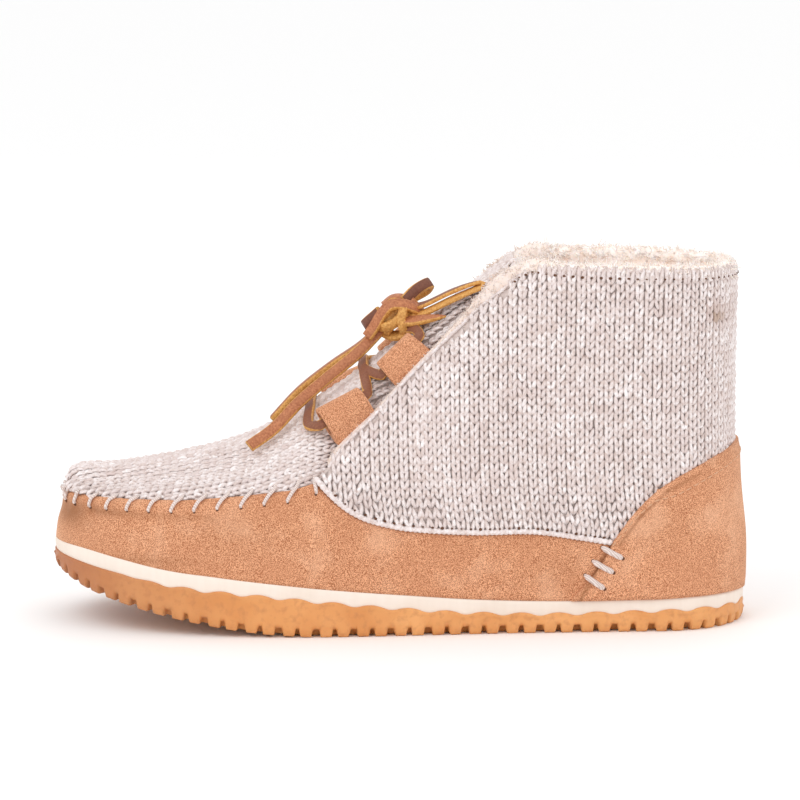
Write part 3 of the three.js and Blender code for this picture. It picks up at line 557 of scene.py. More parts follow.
def section_at(u, side):
    """Foot and ridge of a section in side view, its half width and its roundness."""
    def read(column):
        values = last[column]
        mirrored = -values[1] if column in ("turn", -1, 1) else values[1]
        return along(range(-1, len(values)), [mirrored] + values, u)

    on_feather = u <= heel_section
    turn = np.radians(np.clip(read("turn"), 0, 180))
    lean = along(heel_back["u"], heel_back["lean"], u)
    foot_x = -feather_end * np.cos(turn) + np.where(on_feather, 0, lean)
    foot_half = feather_scale * outline_half(foot_x * length / 2 / feather_end, side) * on_feather
    rise = np.maximum(along(heel_back["u"], heel_back["rise"], u), 0)
    half = np.maximum(np.maximum(read(side), foot_half * least_swell), 1e-6)
    return {"foot_x": foot_x, "foot_z": sole_height("top", foot_x) + seat_gap + rise,
            "ridge_x": read("ridge_x"), "ridge_z": read("ridge_z"), "half": half,
            "foot_ratio": foot_half / half, "widest": read("widest"), "crest": read("crest")}


def round_corner(angle, power):
    """Height and width on a corner that is rounder the lower its power."""
    up = np.sin(angle)
    out = np.maximum(np.cos(angle), 0)
    size = (up ** power + out ** power) ** (1 / power)
    return up / size, out / size


def last_points(side):
    """The last's surface on one side: sections by rows, heights from foot to ridge by columns."""
    s = section_at(np.maximum(section_run, 1e-3), side)
    tip = section_at(np.array([1e-3]), -1)
    s = {name: np.concatenate([tip[name], values[1:]])[:, None] for name, values in s.items()}
    s["half"][0] = 0
    v = height_run[None, :]
    up, out_above = round_corner(np.clip(v, 0, 1) * np.pi / 2, s["crest"])
    cut = (1 - s["foot_ratio"] ** foot_roundness) ** (1 / foot_roundness)
    down, out_below = round_corner(np.clip(-v, 0, 1) * np.arctan2(cut, s["foot_ratio"]), foot_roundness)
    t = np.where(v >= 0, s["widest"] + (1 - s["widest"]) * up, s["widest"] * (1 - down / cut))
    out = np.where(v >= 0, out_above, out_below)
    return np.stack([s["foot_x"] + (s["ridge_x"] - s["foot_x"]) * t, side * s["half"] * out,
                     s["foot_z"] + (s["ridge_z"] - s["foot_z"]) * t], -1)


def eased(points, reach):
    """Evens the surface from section to section, as cloth over the last does."""
    spacing = 0.25
    pad = int(3 * reach / spacing)
    kernel = np.exp(-0.5 * (np.arange(-pad, pad + 1) * spacing / reach) ** 2)
    kernel /= kernel.sum()
    held = smoothstep(-1, -0.7, height_run)[None, :] * smoothstep(2, 4, section_run)[:, None]
    made = points.copy()
    for j in range(points.shape[1]):
        line = points[:, j]
        run = distances(line)
        even = np.arange(0, run[-1], spacing)
        fine = straight_along(run, line, even)
        longer = np.concatenate([2 * fine[0] - fine[pad:0:-1], fine, 2 * fine[-1] - fine[-2:-pad - 2:-1]])
        soft = np.stack([np.convolve(longer[:, k], kernel, "valid") for k in range(3)], -1)
        back = straight_along(even, soft, run)
        made[:, j] += (back - line) * held[:, j:j + 1]
    return made


def facing_of(points, side):
    """Outward direction of the surface at each of its grid points."""
    stride = 1.5
    forward = np.empty_like(points)
    for j in range(points.shape[1]):
        line = points[:, j]
        run = distances(line)
        forward[:, j] = straight_along(run, line, run + stride) - straight_along(run, line, run - stride)
    normal = unit(np.cross(forward, np.gradient(points, axis=1)) * -side)
    for _ in range(2):
        padded = np.pad(normal, ((1, 1), (1, 1), (0, 0)), "edge")
        normal = unit(padded[:-2, 1:-1] + padded[2:, 1:-1] + padded[1:-1, :-2] + padded[1:-1, 2:]
                      + 2 * normal)
    return normal


# Soft folds of the worn-in upper in side view: from, to, reach across, and depth below the surface
folds = [
    ((-128, 43), (-116, 44.5), 4.0, 0.9),
    ((-114, 45), (-72, 45), 2.4, 0.6),
    ((-70, 30), (-52, 45), 7.0, 0.5),
    ((-34, 60), (-14, 46), 5.0, -0.9),
    ((40, 118), (62, 70), 9.0, 0.7),
    ((84, 128), (92, 78), 10.0, 0.6),
    ((14, 92), (40, 60), 11.0, -0.6),
    ((100, 52), (112, 22), 9.0, 0.5),
]
surface_points = {}
surface_facing = {}
for side in (-1, 1):
    grid = eased(last_points(side), ease_reach)
    normal = facing_of(grid, side)
    for fold_from, fold_to, fold_reach, fold_depth in folds:
        start = np.array(fold_from, float)
        span = np.array(fold_to, float) - start
        away = grid[..., [0, 2]] - start
        share = np.clip((away @ span) / (span @ span), 0, 1)
        gap = np.linalg.norm(away - share[..., None] * span, axis=-1)
        grid = grid - normal * (fold_depth * np.exp(-(gap / fold_reach) ** 2))[..., None]
    surface_points[side] = grid
    surface_facing[side] = facing_of(grid, side)


def surface(u, v, side, lift=0.0):
    """Point of the upper at a section and height, lifted off it, and the way it faces there."""
    u, v, lift = np.broadcast_arrays(np.asarray(u, float), np.asarray(v, float), np.asarray(lift, float))
    row = np.clip(u, 0, collar_section) * section_steps
    column = (np.clip(v, -1, 1) + 1) / 2 * (len(height_run) - 1)
    i = np.minimum(row.astype(int), len(section_run) - 2)
    j = np.minimum(column.astype(int), len(height_run) - 2)
    a = (row - i)[..., None]
    b = (column - j)[..., None]

    def mixed(field):
        low = field[i, j] * (1 - a) + field[i + 1, j] * a
        return low * (1 - b) + (field[i, j + 1] * (1 - a) + field[i + 1, j + 1] * a) * b

    normal = unit(mixed(surface_facing[side]))
    return mixed(surface_points[side]) + normal * lift[..., None], normal


def height_of(t, section):
    """Height v of a share t of the way from foot to ridge."""
    up = np.clip((t - section["widest"]) / (1 - section["widest"]), 0, 1)
    out = np.maximum(0, 1 - up ** section["crest"]) ** (1 / section["crest"])
    above = np.arctan2(up, out) / (np.pi / 2)
    cut = (1 - section["foot_ratio"] ** foot_roundness) ** (1 / foot_roundness)
    down = np.clip(1 - t / section["widest"], 0, 1) * cut
    wide = np.maximum(0, 1 - down ** foot_roundness) ** (1 / foot_roundness)
    below = -np.arctan2(down, wide) / np.maximum(np.arctan2(cut, section["foot_ratio"]), 1e-9)
    return np.where(t >= section["widest"], above, below)


def section_place(x, z, side):
    """Section and height of a place in side view, before the surface is eased."""
    s = section_at(np.maximum(section_run, 1e-3), side)
    behind = ((s["ridge_x"] - s["foot_x"]) * (z[..., None] - s["foot_z"])
              - (s["ridge_z"] - s["foot_z"]) * (x[..., None] - s["foot_x"]))
    crossed = (behind[..., :-1] <= 0) & (behind[..., 1:] > 0)
    k = np.argmax(crossed, axis=-1)
    k = np.where(crossed.any(axis=-1), k, np.where(behind[..., 0] > 0, 0, len(section_run) - 2))
    low = np.take_along_axis(behind, k[..., None], -1)[..., 0]
    high = np.take_along_axis(behind, k[..., None] + 1, -1)[..., 0]
    u = section_run[k] + np.clip(-low / np.where(high == low, 1, high - low), 0, 1) / section_steps
    at = section_at(np.maximum(u, 1e-3), side)
    run_x = at["ridge_x"] - at["foot_x"]
    run_z = at["ridge_z"] - at["foot_z"]
    t = ((x - at["foot_x"]) * run_x + (z - at["foot_z"]) * run_z) / (run_x ** 2 + run_z ** 2)
    return u, height_of(np.clip(t, 0, 1), at)


def locate(x, z, side):
    """Section and height of a place given in side view."""
    x, z = np.broadcast_arrays(np.asarray(x, float), np.asarray(z, float))
    miss_x = np.zeros(x.shape)
    miss_z = np.zeros(x.shape)
    for _ in range(9):
        u, v = section_place(x + miss_x, z + miss_z, side)
        found = surface(u, v, side)[0]
        miss_x = np.clip(miss_x + 0.7 * (x - found[..., 0]), -5, 5)
        miss_z = np.clip(miss_z + 0.7 * (z - found[..., 2]), -5, 5)
    return u, v


def edge_heights(side):
    """Height of the plug seam, and further up of the quarter's front edge, on every section."""
    s = section_at(np.maximum(section_run, 1e-3), side)
    t = np.ones(len(section_run))
    run = np.stack([s["ridge_x"] - s["foot_x"], s["ridge_z"] - s["foot_z"]], -1)
    for ax, az, bx, bz in zip(front_edge["x"], front_edge["z"], front_edge["x"][1:], front_edge["z"][1:]):
        edge = np.array([bx - ax, bz - az])
        away = np.stack([ax - s["foot_x"], az - s["foot_z"]], -1)
        cross = run[:, 0] * edge[1] - run[:, 1] * edge[0]
        share = (away[:, 0] * edge[1] - away[:, 1] * edge[0]) / cross
        place = (away[:, 0] * run[:, 1] - away[:, 1] * run[:, 0]) / cross
        t = np.where((place >= 0) & (place <= 1) & (share > 0.3) & (share < 1), share, t)
    return height_of(t, s)


edge_run = {side: edge_heights(side) for side in (-1, 1)}


def edge_v(u, side):
    """Height of the plug seam and the quarter's front edge."""
    return np.interp(u, section_run, edge_run[side])


def hem_z(x):
    """Line of the knit's hem in side view."""
    return along(knit_hem["x"], knit_hem["z"], x)


def knit_lift(x, z):
    """The knit's hem is folded under and lies over the suede, so it stands proud near its edge."""
    above = z - hem_z(x)
    near_hem = smoothstep(-0.7, 0.1, above) * (1 - smoothstep(1, 13, above))
    return hem_raise * near_hem * smoothstep(-40, -30, x) * (1 - smoothstep(64, 80, x))


def shell(outer, inner):
    """Closed wall between an outer and an inner grid of points."""
    rows, columns = outer.shape[:2]
    count = rows * columns
    index = np.arange(count).reshape(rows, columns)
    quads = np.stack([index[:-1, :-1], index[1:, :-1], index[1:, 1:], index[:-1, 1:]], -1).reshape(-1, 4)
    rim = np.concatenate([index[:-1, 0], index[-1, :-1], index[:0:-1, -1], index[0, :0:-1]])
    after = np.roll(rim, -1)
    sides = np.stack([after, rim, rim + count, after + count], -1)
    faces = np.concatenate([quads, quads[:, ::-1] + count, sides])
    return np.concatenate([outer.reshape(-1, 3), inner.reshape(-1, 3)]), faces.tolist()


def around(part):
    """One grid round the toe from a function that gives a wall on one side."""
    outer = part(section_run[::-2], -1)
    return np.concatenate([outer, part(section_run[2::2], 1)])


wall_shares = np.linspace(0, 1, 33)


def side_wall(u, side, lift):
    """Grid of a wall from the feather edge up to the seam or front edge, lifted off the surface."""
    v = -1 + wall_shares[None, :] * (edge_v(u, side)[:, None] + 1)
    place, _ = surface(u[:, None], v, side)
    raised = knit_lift(place[..., 0], place[..., 2])
    return surface(u[:, None], v, side, np.broadcast_to(lift, u.shape)[:, None] + raised)[0]


def wall_depth(u):
    """Inner face of the whole wall, fleece included."""
    return -np.interp(u, range(len(last["wall"])), last["wall"])


# Painted shade: a wall under the stitches, coloured grey-brown for the shade that falls between them.
knit_backing, tree, shader = start_material("knit wall in painted gap shade", Roughness=0.95)
where = add_node(tree, "ShaderNodeTexCoord").outputs["Object"]
gap_shade_mottle = add_node(tree, "ShaderNodeTexNoise", {"Vector": where, "Scale": 900, "Detail": 3}).outputs["Fac"]
tone = add_node(tree, "ShaderNodeMix", {0: gap_shade_mottle, 6: linear("#c0aea7"), 7: linear("#e0d2cd")},
                data_type="RGBA").outputs[2]
tree.links.new(tone, shader.inputs["Base Color"])
shade_wall_points, shade_wall_faces = shell(
    around(lambda u, side: side_wall(u, side, shade_wall_face)),
    around(lambda u, side: side_wall(u, side, shade_wall_depth)))
add_piece("knit_backing", shade_wall_points, shade_wall_faces, knit_backing, "knit", ["upper"])

# Knit of the quarters: stockinette in thick heather yarn, each stitch two plump legs in a V. Columns
# run down the boot and round the heel; the hem is turned under and sewn over the suede.
stitch_width = 3.6
stitch_pitch = 3.05
ply_turn = 1.1
course_from = 30
course_to = 140
course_wander = 0.12
first_course = 3.2
hem_level = 40.0
girth_z = 100
wales_to_front = 60
wales_past_front = 13
quarter_front_x = -33
hem_clear = 1.3
counter_lap = 2.5
collar_clear = 1.5
stitch_shade = 0.62
shade_spread = 0.2
random = np.random.default_rng(7)

# Heather yarn: pale rose-white wool with grey-brown and straw fibres twisted in, matt and downy.
heather_yarn, tree, shader = start_material("heather wool yarn", Roughness=0.95, Sheen_Weight=0.25)
where = add_node(tree, "ShaderNodeTexCoord").outputs["Object"]
shade = add_node(tree, "ShaderNodeAttribute", attribute_name="shade").outputs["Fac"]
fibre = add_node(tree, "ShaderNodeTexNoise", {"Vector": where, "Scale": 1500, "Detail": 4}).outputs["Fac"]
patch = add_node(tree, "ShaderNodeTexNoise", {"Vector": where, "Scale": 640, "Detail": 3}).outputs["Fac"]
flecks = add_node(tree, "ShaderNodeMapRange", {"Value": patch, 1: 0.34, 2: 0.6}).outputs[0]
pale = add_node(tree, "ShaderNodeMix", {0: shade, 6: linear("#dac7c3"), 7: linear("#fcf6f6")},
                data_type="RGBA").outputs[2]
tone = add_node(tree, "ShaderNodeMix", {0: flecks, 6: linear("#dac9c3"), 7: pale},
                data_type="RGBA").outputs[2]
ply = add_node(tree, "ShaderNodeAttribute", attribute_name="ply").outputs["Fac"]
dark_ply = add_node(tree, "ShaderNodeMapRange", {"Value": ply, 1: 0.4, 2: 0.8, 4: 0.5}).outputs[0]
fine = add_node(tree, "ShaderNodeMapRange", {"Value": fibre, 1: 0.55, 2: 0.7, 4: 0.3}).outputs[0]
soiled = add_node(tree, "ShaderNodeMapRange", {"Value": shade, 1: 0, 2: -1}).outputs[0]
for share, code in ((dark_ply, "#b9a299"), (fine, "#c0aaa0"), (soiled, "#a98b70")):
    tone = add_node(tree, "ShaderNodeMix", {0: share, 6: tone, 7: linear(code)},
                    data_type="RGBA").outputs[2]
tree.links.new(tone, shader.inputs["Base Color"])
relief = add_node(tree, "ShaderNodeBump", {"Height": fibre, "Strength": 0.5, "Distance": 0.0005})
tree.links.new(relief.outputs[0], shader.inputs["Normal"])


def tube(points, radii, sides, flat=1.0, facing=(0, 0, 1)):
    """Round strand through given points, closed to a point at both ends."""
    points = np.asarray(points, float)
    radii = np.asarray(radii, float)
    heading = unit(np.gradient(points, axis=0))
    across = unit(np.cross(heading, np.asarray(facing, float)))
    up = np.cross(across, heading)
    turns = np.linspace(0, 2 * np.pi, sides, endpoint=False)
    rings = (points[:, None] + across[:, None] * (np.cos(turns)[:, None] * radii[:, None, None])
             + up[:, None] * (np.sin(turns)[:, None] * radii[:, None, None] * flat))
    index = np.arange(len(points) * sides).reshape(len(points), sides)
    after = np.roll(index, -1, axis=1)
    faces = np.stack([index[:-1], after[:-1], after[1:], index[1:]], -1).reshape(-1, 4).tolist()
    ends = [points[0] - heading[0] * radii[0], points[-1] + heading[-1] * radii[-1]]
    start = len(points) * sides
    for k in range(sides):
        faces.append([int(after[0, k]), int(index[0, k]), start])
        faces.append([int(index[-1, k]), int(after[-1, k]), start + 1])
    return np.concatenate([rings.reshape(-1, 3), ends]), faces


def joined(forms):
    """Several forms as one."""
    points = []
    faces = []
    for form_points, form_faces in forms:
        faces += [[i + len(points) for i in face] for face in form_faces]
        points += np.asarray(form_points).tolist()
    return np.array(points), faces


def pattern(name, points, faces):
    """A small form that is laid many times, kept out of the finished shoe."""
    mesh = bpy.data.meshes.new(name)
    mesh.from_pydata((np.asarray(points) * MM).tolist(), [], faces)
    made = bpy.data.objects.new(name, mesh)
    scene.collection.objects.link(made)
    return made


# One leg of a stitch: a plump strand that dives under its neighbours at both ends
leg_path = np.array([(0.22, -2.5, -0.8), (0.48, -1.4, 0.1), (0.86, -0.1, 0.45), (1.2, 1.2, 0.15),
                     (1.38, 2.4, -0.7)])
leg_radii = [0.36, 0.74, 0.88, 0.76, 0.36]
leg_sides = 5
knit_stitch = pattern("knit stitch", *joined(
    [tube(leg_path * (hand, 1, 1), leg_radii, leg_sides, flat=0.85) for hand in (-1, 1)]))

# Two plies wind round each leg: one side of every ring is the dark ply, further round at each ring
ply_turns = 2 * np.pi * np.arange(leg_sides) / leg_sides + ply_turn * np.arange(len(leg_path))[:, None]
leg_plies = np.append(0.5 + 0.5 * np.cos(ply_turns), (0.5, 0.5))
mark(knit_stitch, "ply", np.tile(leg_plies, 2))

# Lays one form at every point: the form's Z looks the point's way and its Y runs along its lay
laid_forms = bpy.data.node_groups.new("laid forms", "GeometryNodeTree")
for socket_name, socket_kind in (("Points", "NodeSocketGeometry"), ("Form", "NodeSocketObject"),
                                 ("Material", "NodeSocketMaterial")):
    laid_forms.interface.new_socket(socket_name, in_out="INPUT", socket_type=socket_kind)
laid_forms.interface.new_socket("Geometry", in_out="OUTPUT", socket_type="NodeSocketGeometry")
entry = add_node(laid_forms, "NodeGroupInput").outputs
form = add_node(laid_forms, "GeometryNodeObjectInfo", {"Object": entry["Form"]}).outputs["Geometry"]
facing, lay, size = (
    add_node(laid_forms, "GeometryNodeInputNamedAttribute", {"Name": field},
             data_type="FLOAT_VECTOR").outputs["Attribute"]
    for field in ("facing", "lay", "size"))
turned = add_node(laid_forms, "FunctionNodeAxesToRotation",
                  {"Primary Axis": facing, "Secondary Axis": lay},
                  primary_axis="Z", secondary_axis="Y").outputs[0]
placed = add_node(laid_forms, "GeometryNodeInstanceOnPoints",
                  {"Points": entry["Points"], "Instance": form, "Rotation": turned, "Scale": size}).outputs[0]
solid = add_node(laid_forms, "GeometryNodeRealizeInstances", {"Geometry": placed}).outputs[0]
rounded = add_node(laid_forms, "GeometryNodeSetShadeSmooth", {"Geometry": solid}).outputs[0]
dressed = add_node(laid_forms, "GeometryNodeSetMaterial",
                   {"Geometry": rounded, "Material": entry["Material"]}).outputs[0]
add_node(laid_forms, "NodeGroupOutput", {"Geometry": dressed})


def grown(name, base, group, settings):
    """Runs a node group on a base object and keeps the result as a finished piece."""
    worker = bpy.data.objects.new(name + " base", base)
    scene.collection.objects.link(worker)
    modifier = worker.modifiers.new("nodes", "NODES")
    modifier.node_group = group
    for item in group.interface.items_tree:
        if item.in_out == "INPUT" and item.name in settings:
            modifier[item.identifier] = settings[item.name]
    graph = bpy.context.evaluated_depsgraph_get()
    mesh = bpy.data.meshes.new_from_object(worker.evaluated_get(graph), depsgraph=graph)
    bpy.data.objects.remove(worker)
    mesh.name = name
    return settle(name, mesh)


def lay_forms(name, places, facings, lays, form, material, sizes=None, shades=None):
    """Lays a form at every place, in millimetres, as one finished piece."""
    base = bpy.data.meshes.new(name)
    base.from_pydata((np.asarray(places) * MM).tolist(), [], [])
    count = len(places)
    sizes = np.ones((count, 3)) if sizes is None else sizes
    shades = np.ones(count) if shades is None else shades
    for field, values in (("facing", facings), ("lay", lays), ("size", sizes)):
        base.attributes.new(field, "FLOAT_VECTOR", "POINT").data.foreach_set("vector", np.ravel(values))
    base.attributes.new("shade", "FLOAT", "POINT").data.foreach_set("value", np.ravel(shades))
    return grown(name, base, laid_forms, {"Form": form, "Material": material})


def back_x(z):
    """Line of the heel's back in side view."""
    back = surface_points[-1][heel_section * section_steps:, 0]
    return np.interp(z, back[:, 2], back[:, 0])


def suede_top(x):
    """Upper edge of the suede in side view: the knit's hem, then the top of the counter."""
    return np.where(x < knit_hem["x"][-1], hem_z(x), along(counter_top["x"], counter_top["z"], x))


# A small soiled patch high on the heel's outer side, in side view: below 0 a stitch's shade is soil
soil_place = (119.5, 119.0)
soil_reach = (4.6, 4.0)
soil_depth = 1.15
for side, quarter_name in ((-1, "knit_quarter_outer"), (1, "knit_quarter_inner")):
    depth_run = np.concatenate([[0], np.geomspace(0.02, 125, 400)])
    girth_u, girth_v = locate(back_x(girth_z) - depth_run, girth_z, side)
    girth = distances(surface(girth_u, girth_v, side)[0])
    wales = np.arange(0.5, wales_to_front) * stitch_width
    wale_depths = np.interp(wales, girth, depth_run, right=np.nan)
    wale_depths = wale_depths[~np.isnan(wale_depths)]
    past_front = stitch_width * np.arange(1, wales_past_front + 1)
    wale_depths = np.append(wale_depths, wale_depths[-1] + past_front)
    course_z = np.arange(course_from, course_to, stitch_pitch)
    depth, z = np.meshgrid(wale_depths, course_z)
    z = z + random.normal(0, course_wander, z.shape)
    hem_row = hem_z(back_x(hem_level) - wale_depths) + first_course
    first = course_z[0] + np.ceil((hem_row - course_z[0]) / stitch_pitch) * stitch_pitch
    z = z - (first - hem_row) * (1 - smoothstep(0, 12, z - first))
    x = back_x(z) - depth
    u, v = locate(x, z, side)
    collar_line = surface(collar_section, np.linspace(0.9, -1, 200), side)[0]
    collar_z = np.interp(x, collar_line[:, 0], collar_line[:, 2])
    lapped = np.where(x < knit_hem["x"][-1], -hem_clear, counter_lap)
    kept = ((z > suede_top(x) - lapped) & (z < collar_z + 0.6) & (v < edge_v(u, side) - 0.03)
            & (x > quarter_front_x))
    x, z, depth = x[kept], np.minimum(z, collar_z - collar_clear)[kept], depth[kept]
    u, v = locate(x, z, side)
    place, normal = surface(u, v, side)
    lift = knit_lift(place[:, 0], place[:, 2])
    lower = surface(*locate(back_x(z - 2) - depth, z - 2, side), side)[0]
    lay = unit(place - lower)
    place = place + normal * (lift + random.normal(0, 0.08, len(z)))[:, None]
    shades = np.clip(random.normal(stitch_shade, shade_spread, len(z)), 0, 1)
    if side == -1:
        shades -= soil_depth * np.exp(-((x - soil_place[0]) / soil_reach[0]) ** 2
                                      - ((z - soil_place[1]) / soil_reach[1]) ** 2)
    sizes = np.column_stack([random.normal(1.0, 0.05, len(z)), random.normal(1.04, 0.07, len(z)),
                             random.normal(1.0, 0.08, len(z))])
    lay = lay + random.normal(0, 0.07, lay.shape)
    lay_forms(quarter_name, place, normal, lay, knit_stitch, heather_yarn, sizes, shades)

# Toe plug and tongue: one knit panel from the toe to the collar. Round the toe its edge is rolled and
# gathered to the suede; above the throat its sides dip behind the quarters.
panel_shares = np.linspace(-1, 1, 45)
panel_run = np.linspace(0.35, collar_section, 120)
plug_sink = 1.7
plug_hollow = 2.4
toe_dome = 2.2
toe_dome_u = 1.3
toe_dome_reach = 0.8
plug_roll = 3.4
plug_roll_share = 0.95
plug_roll_reach = 0.13
tongue_clear = 0.9
tongue_widening = 0.16
corner_rounding = 0.2
plug_reach = 1.02
tongue_reach = 1.1
plug_end = 5.2
first_plug_course = 3.6
course_step = 0.12


def panel_lift(u, share):
    """Rolled edge round the toe, then the dip behind the quarters."""
    share = np.abs(share)
    toe = 1 - smoothstep(4.6, 6.2, u)
    bulge = toe_dome * np.exp(-((u - toe_dome_u) / toe_dome_reach) ** 2)
    dome = -plug_sink + bulge - plug_hollow * smoothstep(0.1, 0.6, share)
    roll = plug_roll * np.exp(-((share - plug_roll_share) / plug_roll_reach) ** 2)
    dip = (wall_depth(u) - tongue_clear) * smoothstep(0.45, 0.95, share) * smoothstep(5.4, 6.6, u)
    return (dome + roll) * toe + dip


def panel_point(u, share, lift=0.0):
    """Point of the panel: share runs from its edge outside (-1) over the ridge to that inside (1)."""
    u, share, lift = np.broadcast_arrays(*(np.asarray(a, float) for a in (u, share, lift)))
    places = []
    for side in (-1, 1):
        v = 1 - np.abs(share) * (1 - edge_v(u, side))
        places.append(surface(u, v, side, panel_lift(u, share) + lift))
    outer = (share < 0)[..., None]
    return np.where(outer, places[0][0], places[1][0]), np.where(outer, places[0][1], places[1][1])


def tongue_narrowing(u):
    """The tongue's corners are rounded off towards its top."""
    return corner_rounding * smoothstep(16.5, collar_section, u)


def panel_grid(lift):
    """Grid of the whole panel, lifted off its surface."""
    reach = 1.0 + tongue_widening * smoothstep(5, 6.6, panel_run) - tongue_narrowing(panel_run)
    return panel_point(panel_run[:, None], panel_shares[None, :] * reach[:, None], lift)[0]


# The panel's wall under its stitches is painted in the shade that falls between them.
panel_points, panel_faces = shell(panel_grid(shade_wall_face), panel_grid(shade_wall_depth))
add_piece("plug_tongue_backing", panel_points, panel_faces, knit_backing, "knit", ["tongue"])

# Round the toe the stitches look away from the toe's heart and lie up over it
toe_heart = np.array([-108.0, 0.0, 46.0])
toe_lay = np.array([0.6, 0.0, 0.8])
panel_places = []
panel_facings = []
panel_lays = []
ridge_run = distances(surface_points[-1][:, -1])
course_run = np.arange(first_plug_course, ridge_run[-1] - 0.5, stitch_pitch)
course_u = np.interp(course_run, ridge_run, section_run)
share_run = np.linspace(0, 1.12, 80)


def panel_course(u, side, reaches):
    """Shares at which a course has travelled given distances from the ridge."""
    travelled = distances(panel_point(u, side * share_run)[0])
    return np.interp(reaches, travelled, share_run, right=np.nan)


for u in course_u:
    most = plug_reach if u < plug_end else tongue_reach - tongue_narrowing(u)
    ahead_u = min(u + course_step, collar_section)
    for side in (-1, 1):
        reaches = np.arange(0.5, 30) * stitch_width
        shares = panel_course(u, side, reaches)
        ahead = panel_course(ahead_u, side, reaches)
        kept = ~np.isnan(shares) & ~np.isnan(ahead) & (shares < most)
        here, normal = panel_point(u, side * shares[kept])
        normal = unit(normal + (unit(here - toe_heart) - normal) * (1 - smoothstep(0.5, 1.6, u)))
        there = panel_point(ahead_u, side * ahead[kept])[0]
        behind = panel_point(u - course_step, side * shares[kept])[0]
        panel_places.append(here)
        panel_facings.append(normal)
        lay = unit(there - here if u < collar_section - 0.2 else here - behind)
        lay = lay + (toe_lay - lay) * (1 - smoothstep(0.5, 2.2, u))
        panel_lays.append(unit(lay - normal * np.sum(lay * normal, axis=1, keepdims=True)))
panel_places, panel_facings, panel_lays = (
    np.concatenate(rows) for rows in (panel_places, panel_facings, panel_lays))
count = len(panel_places)
lay_forms(
    "knit_plug_tongue", panel_places + panel_facings * random.normal(0, 0.1, count)[:, None], panel_facings,
    panel_lays + random.normal(0, 0.06, (count, 3)), knit_stitch, heather_yarn,
    np.column_stack([np.ones(count), random.normal(1.0, 0.05, count), np.ones(count)]),
    np.clip(random.normal(stitch_shade, shade_spread, count), 0, 1))

# Suede vamp wall: one strip of napped cowhide wrapped round toe and sides, lasted under the midsole's
# edge. Its top edge is gathered to the plug by whip stitches and runs on under the knit's hem.
suede_seat = 0.4
suede_lift = 1.7
lasted_under = 0.7
gather_depth = 0.3
seam_draw = 1.6
vamp_count = 210
suede_columns = 1 - np.linspace(1, 0, 44) ** 1.3

# Napped suede: short stippled nap that takes the light in flecks, in random lighter and darker patches,
# darkened by wear and by painted shade marked on each piece.
napped_suede, tree, shader = start_material("napped cowhide suede", Roughness=0.95, Sheen_Weight=0.3)
shader.inputs["Sheen Tint"].default_value = linear("#f0c8a8")
where = add_node(tree, "ShaderNodeTexCoord").outputs["Object"]
tips = add_node(tree, "ShaderNodeTexNoise", {"Vector": where, "Scale": 3200, "Detail": 1}).outputs["Fac"]
tufts = add_node(tree, "ShaderNodeTexNoise", {"Vector": where, "Scale": 2000, "Detail": 1}).outputs["Fac"]
nap = add_node(tree, "ShaderNodeMix", {0: 0.25, 2: tips, 3: tufts}).outputs[0]
brushed = add_node(tree, "ShaderNodeTexNoise", {"Vector": where, "Scale": 60, "Detail": 4}).outputs["Fac"]
flecks = add_node(tree, "ShaderNodeMapRange", {"Value": nap, 1: 0.43, 2: 0.57}).outputs[0]
tone = add_node(tree, "ShaderNodeMix", {0: flecks, 6: linear("#9f5d38"), 7: linear("#f7b98f")},
                data_type="RGBA").outputs[2]
raised = add_node(tree, "ShaderNodeMapRange", {"Value": brushed, 1: 0.48, 2: 0.3, 4: 0.45}).outputs[0]
rubbed = add_node(tree, "ShaderNodeMapRange", {"Value": brushed, 1: 0.42, 2: 0.72, 4: 0.45}).outputs[0]
# Wear and painted shade, marked on each piece, darken the suede.
dirt_and_shade = add_node(tree, "ShaderNodeAttribute", attribute_name="dirt_and_shade").outputs["Fac"]
for share, code in ((raised, "#f0bb98"), (rubbed, "#c7855f"), (dirt_and_shade, "#99633f")):
    tone = add_node(tree, "ShaderNodeMix", {0: share, 6: tone, 7: linear(code)},
                    data_type="RGBA").outputs[2]
tree.links.new(tone, shader.inputs["Base Color"])
relief = add_node(tree, "ShaderNodeBump", {"Height": nap, "Strength": 0.45, "Distance": 0.0006})
tree.links.new(relief.outputs[0], shader.inputs["Normal"])


def suede_wall(rows, side, lift, edge_drop):
    """Grid of a suede panel from rows: section at its foot, section and height at its top, gather."""
    foot_u, top_u, top_v, gather = rows
    share = suede_columns[None, :]
    u = foot_u[:, None] + (top_u - foot_u)[:, None] * share
    v = -1 + (top_v[:, None] + 1) * share
    rolled = lift - (lift - suede_seat) * smoothstep(0.965, 1.0, share) * edge_drop
    place = surface(u, v, side, rolled + gather[:, None] * smoothstep(0.6, 0.92, share))[0]
    place[:, 0, 2] -= lasted_under
    return place


feather_reach = -np.cos(np.radians(last["turn"][:heel_section + 1]))
vamp_end = np.interp(counter_foot_x / feather_end, feather_reach, range(heel_section + 1))
vamp_foot = np.linspace(0, vamp_end, vamp_count)
vamp_edge_x = -30.4
whip_pitch = 8.8


def seam_tuck(u):
    """The toe's seam is drawn back by its stitches."""
    return -seam_draw * (1 - smoothstep(0.8, 3.0, u))


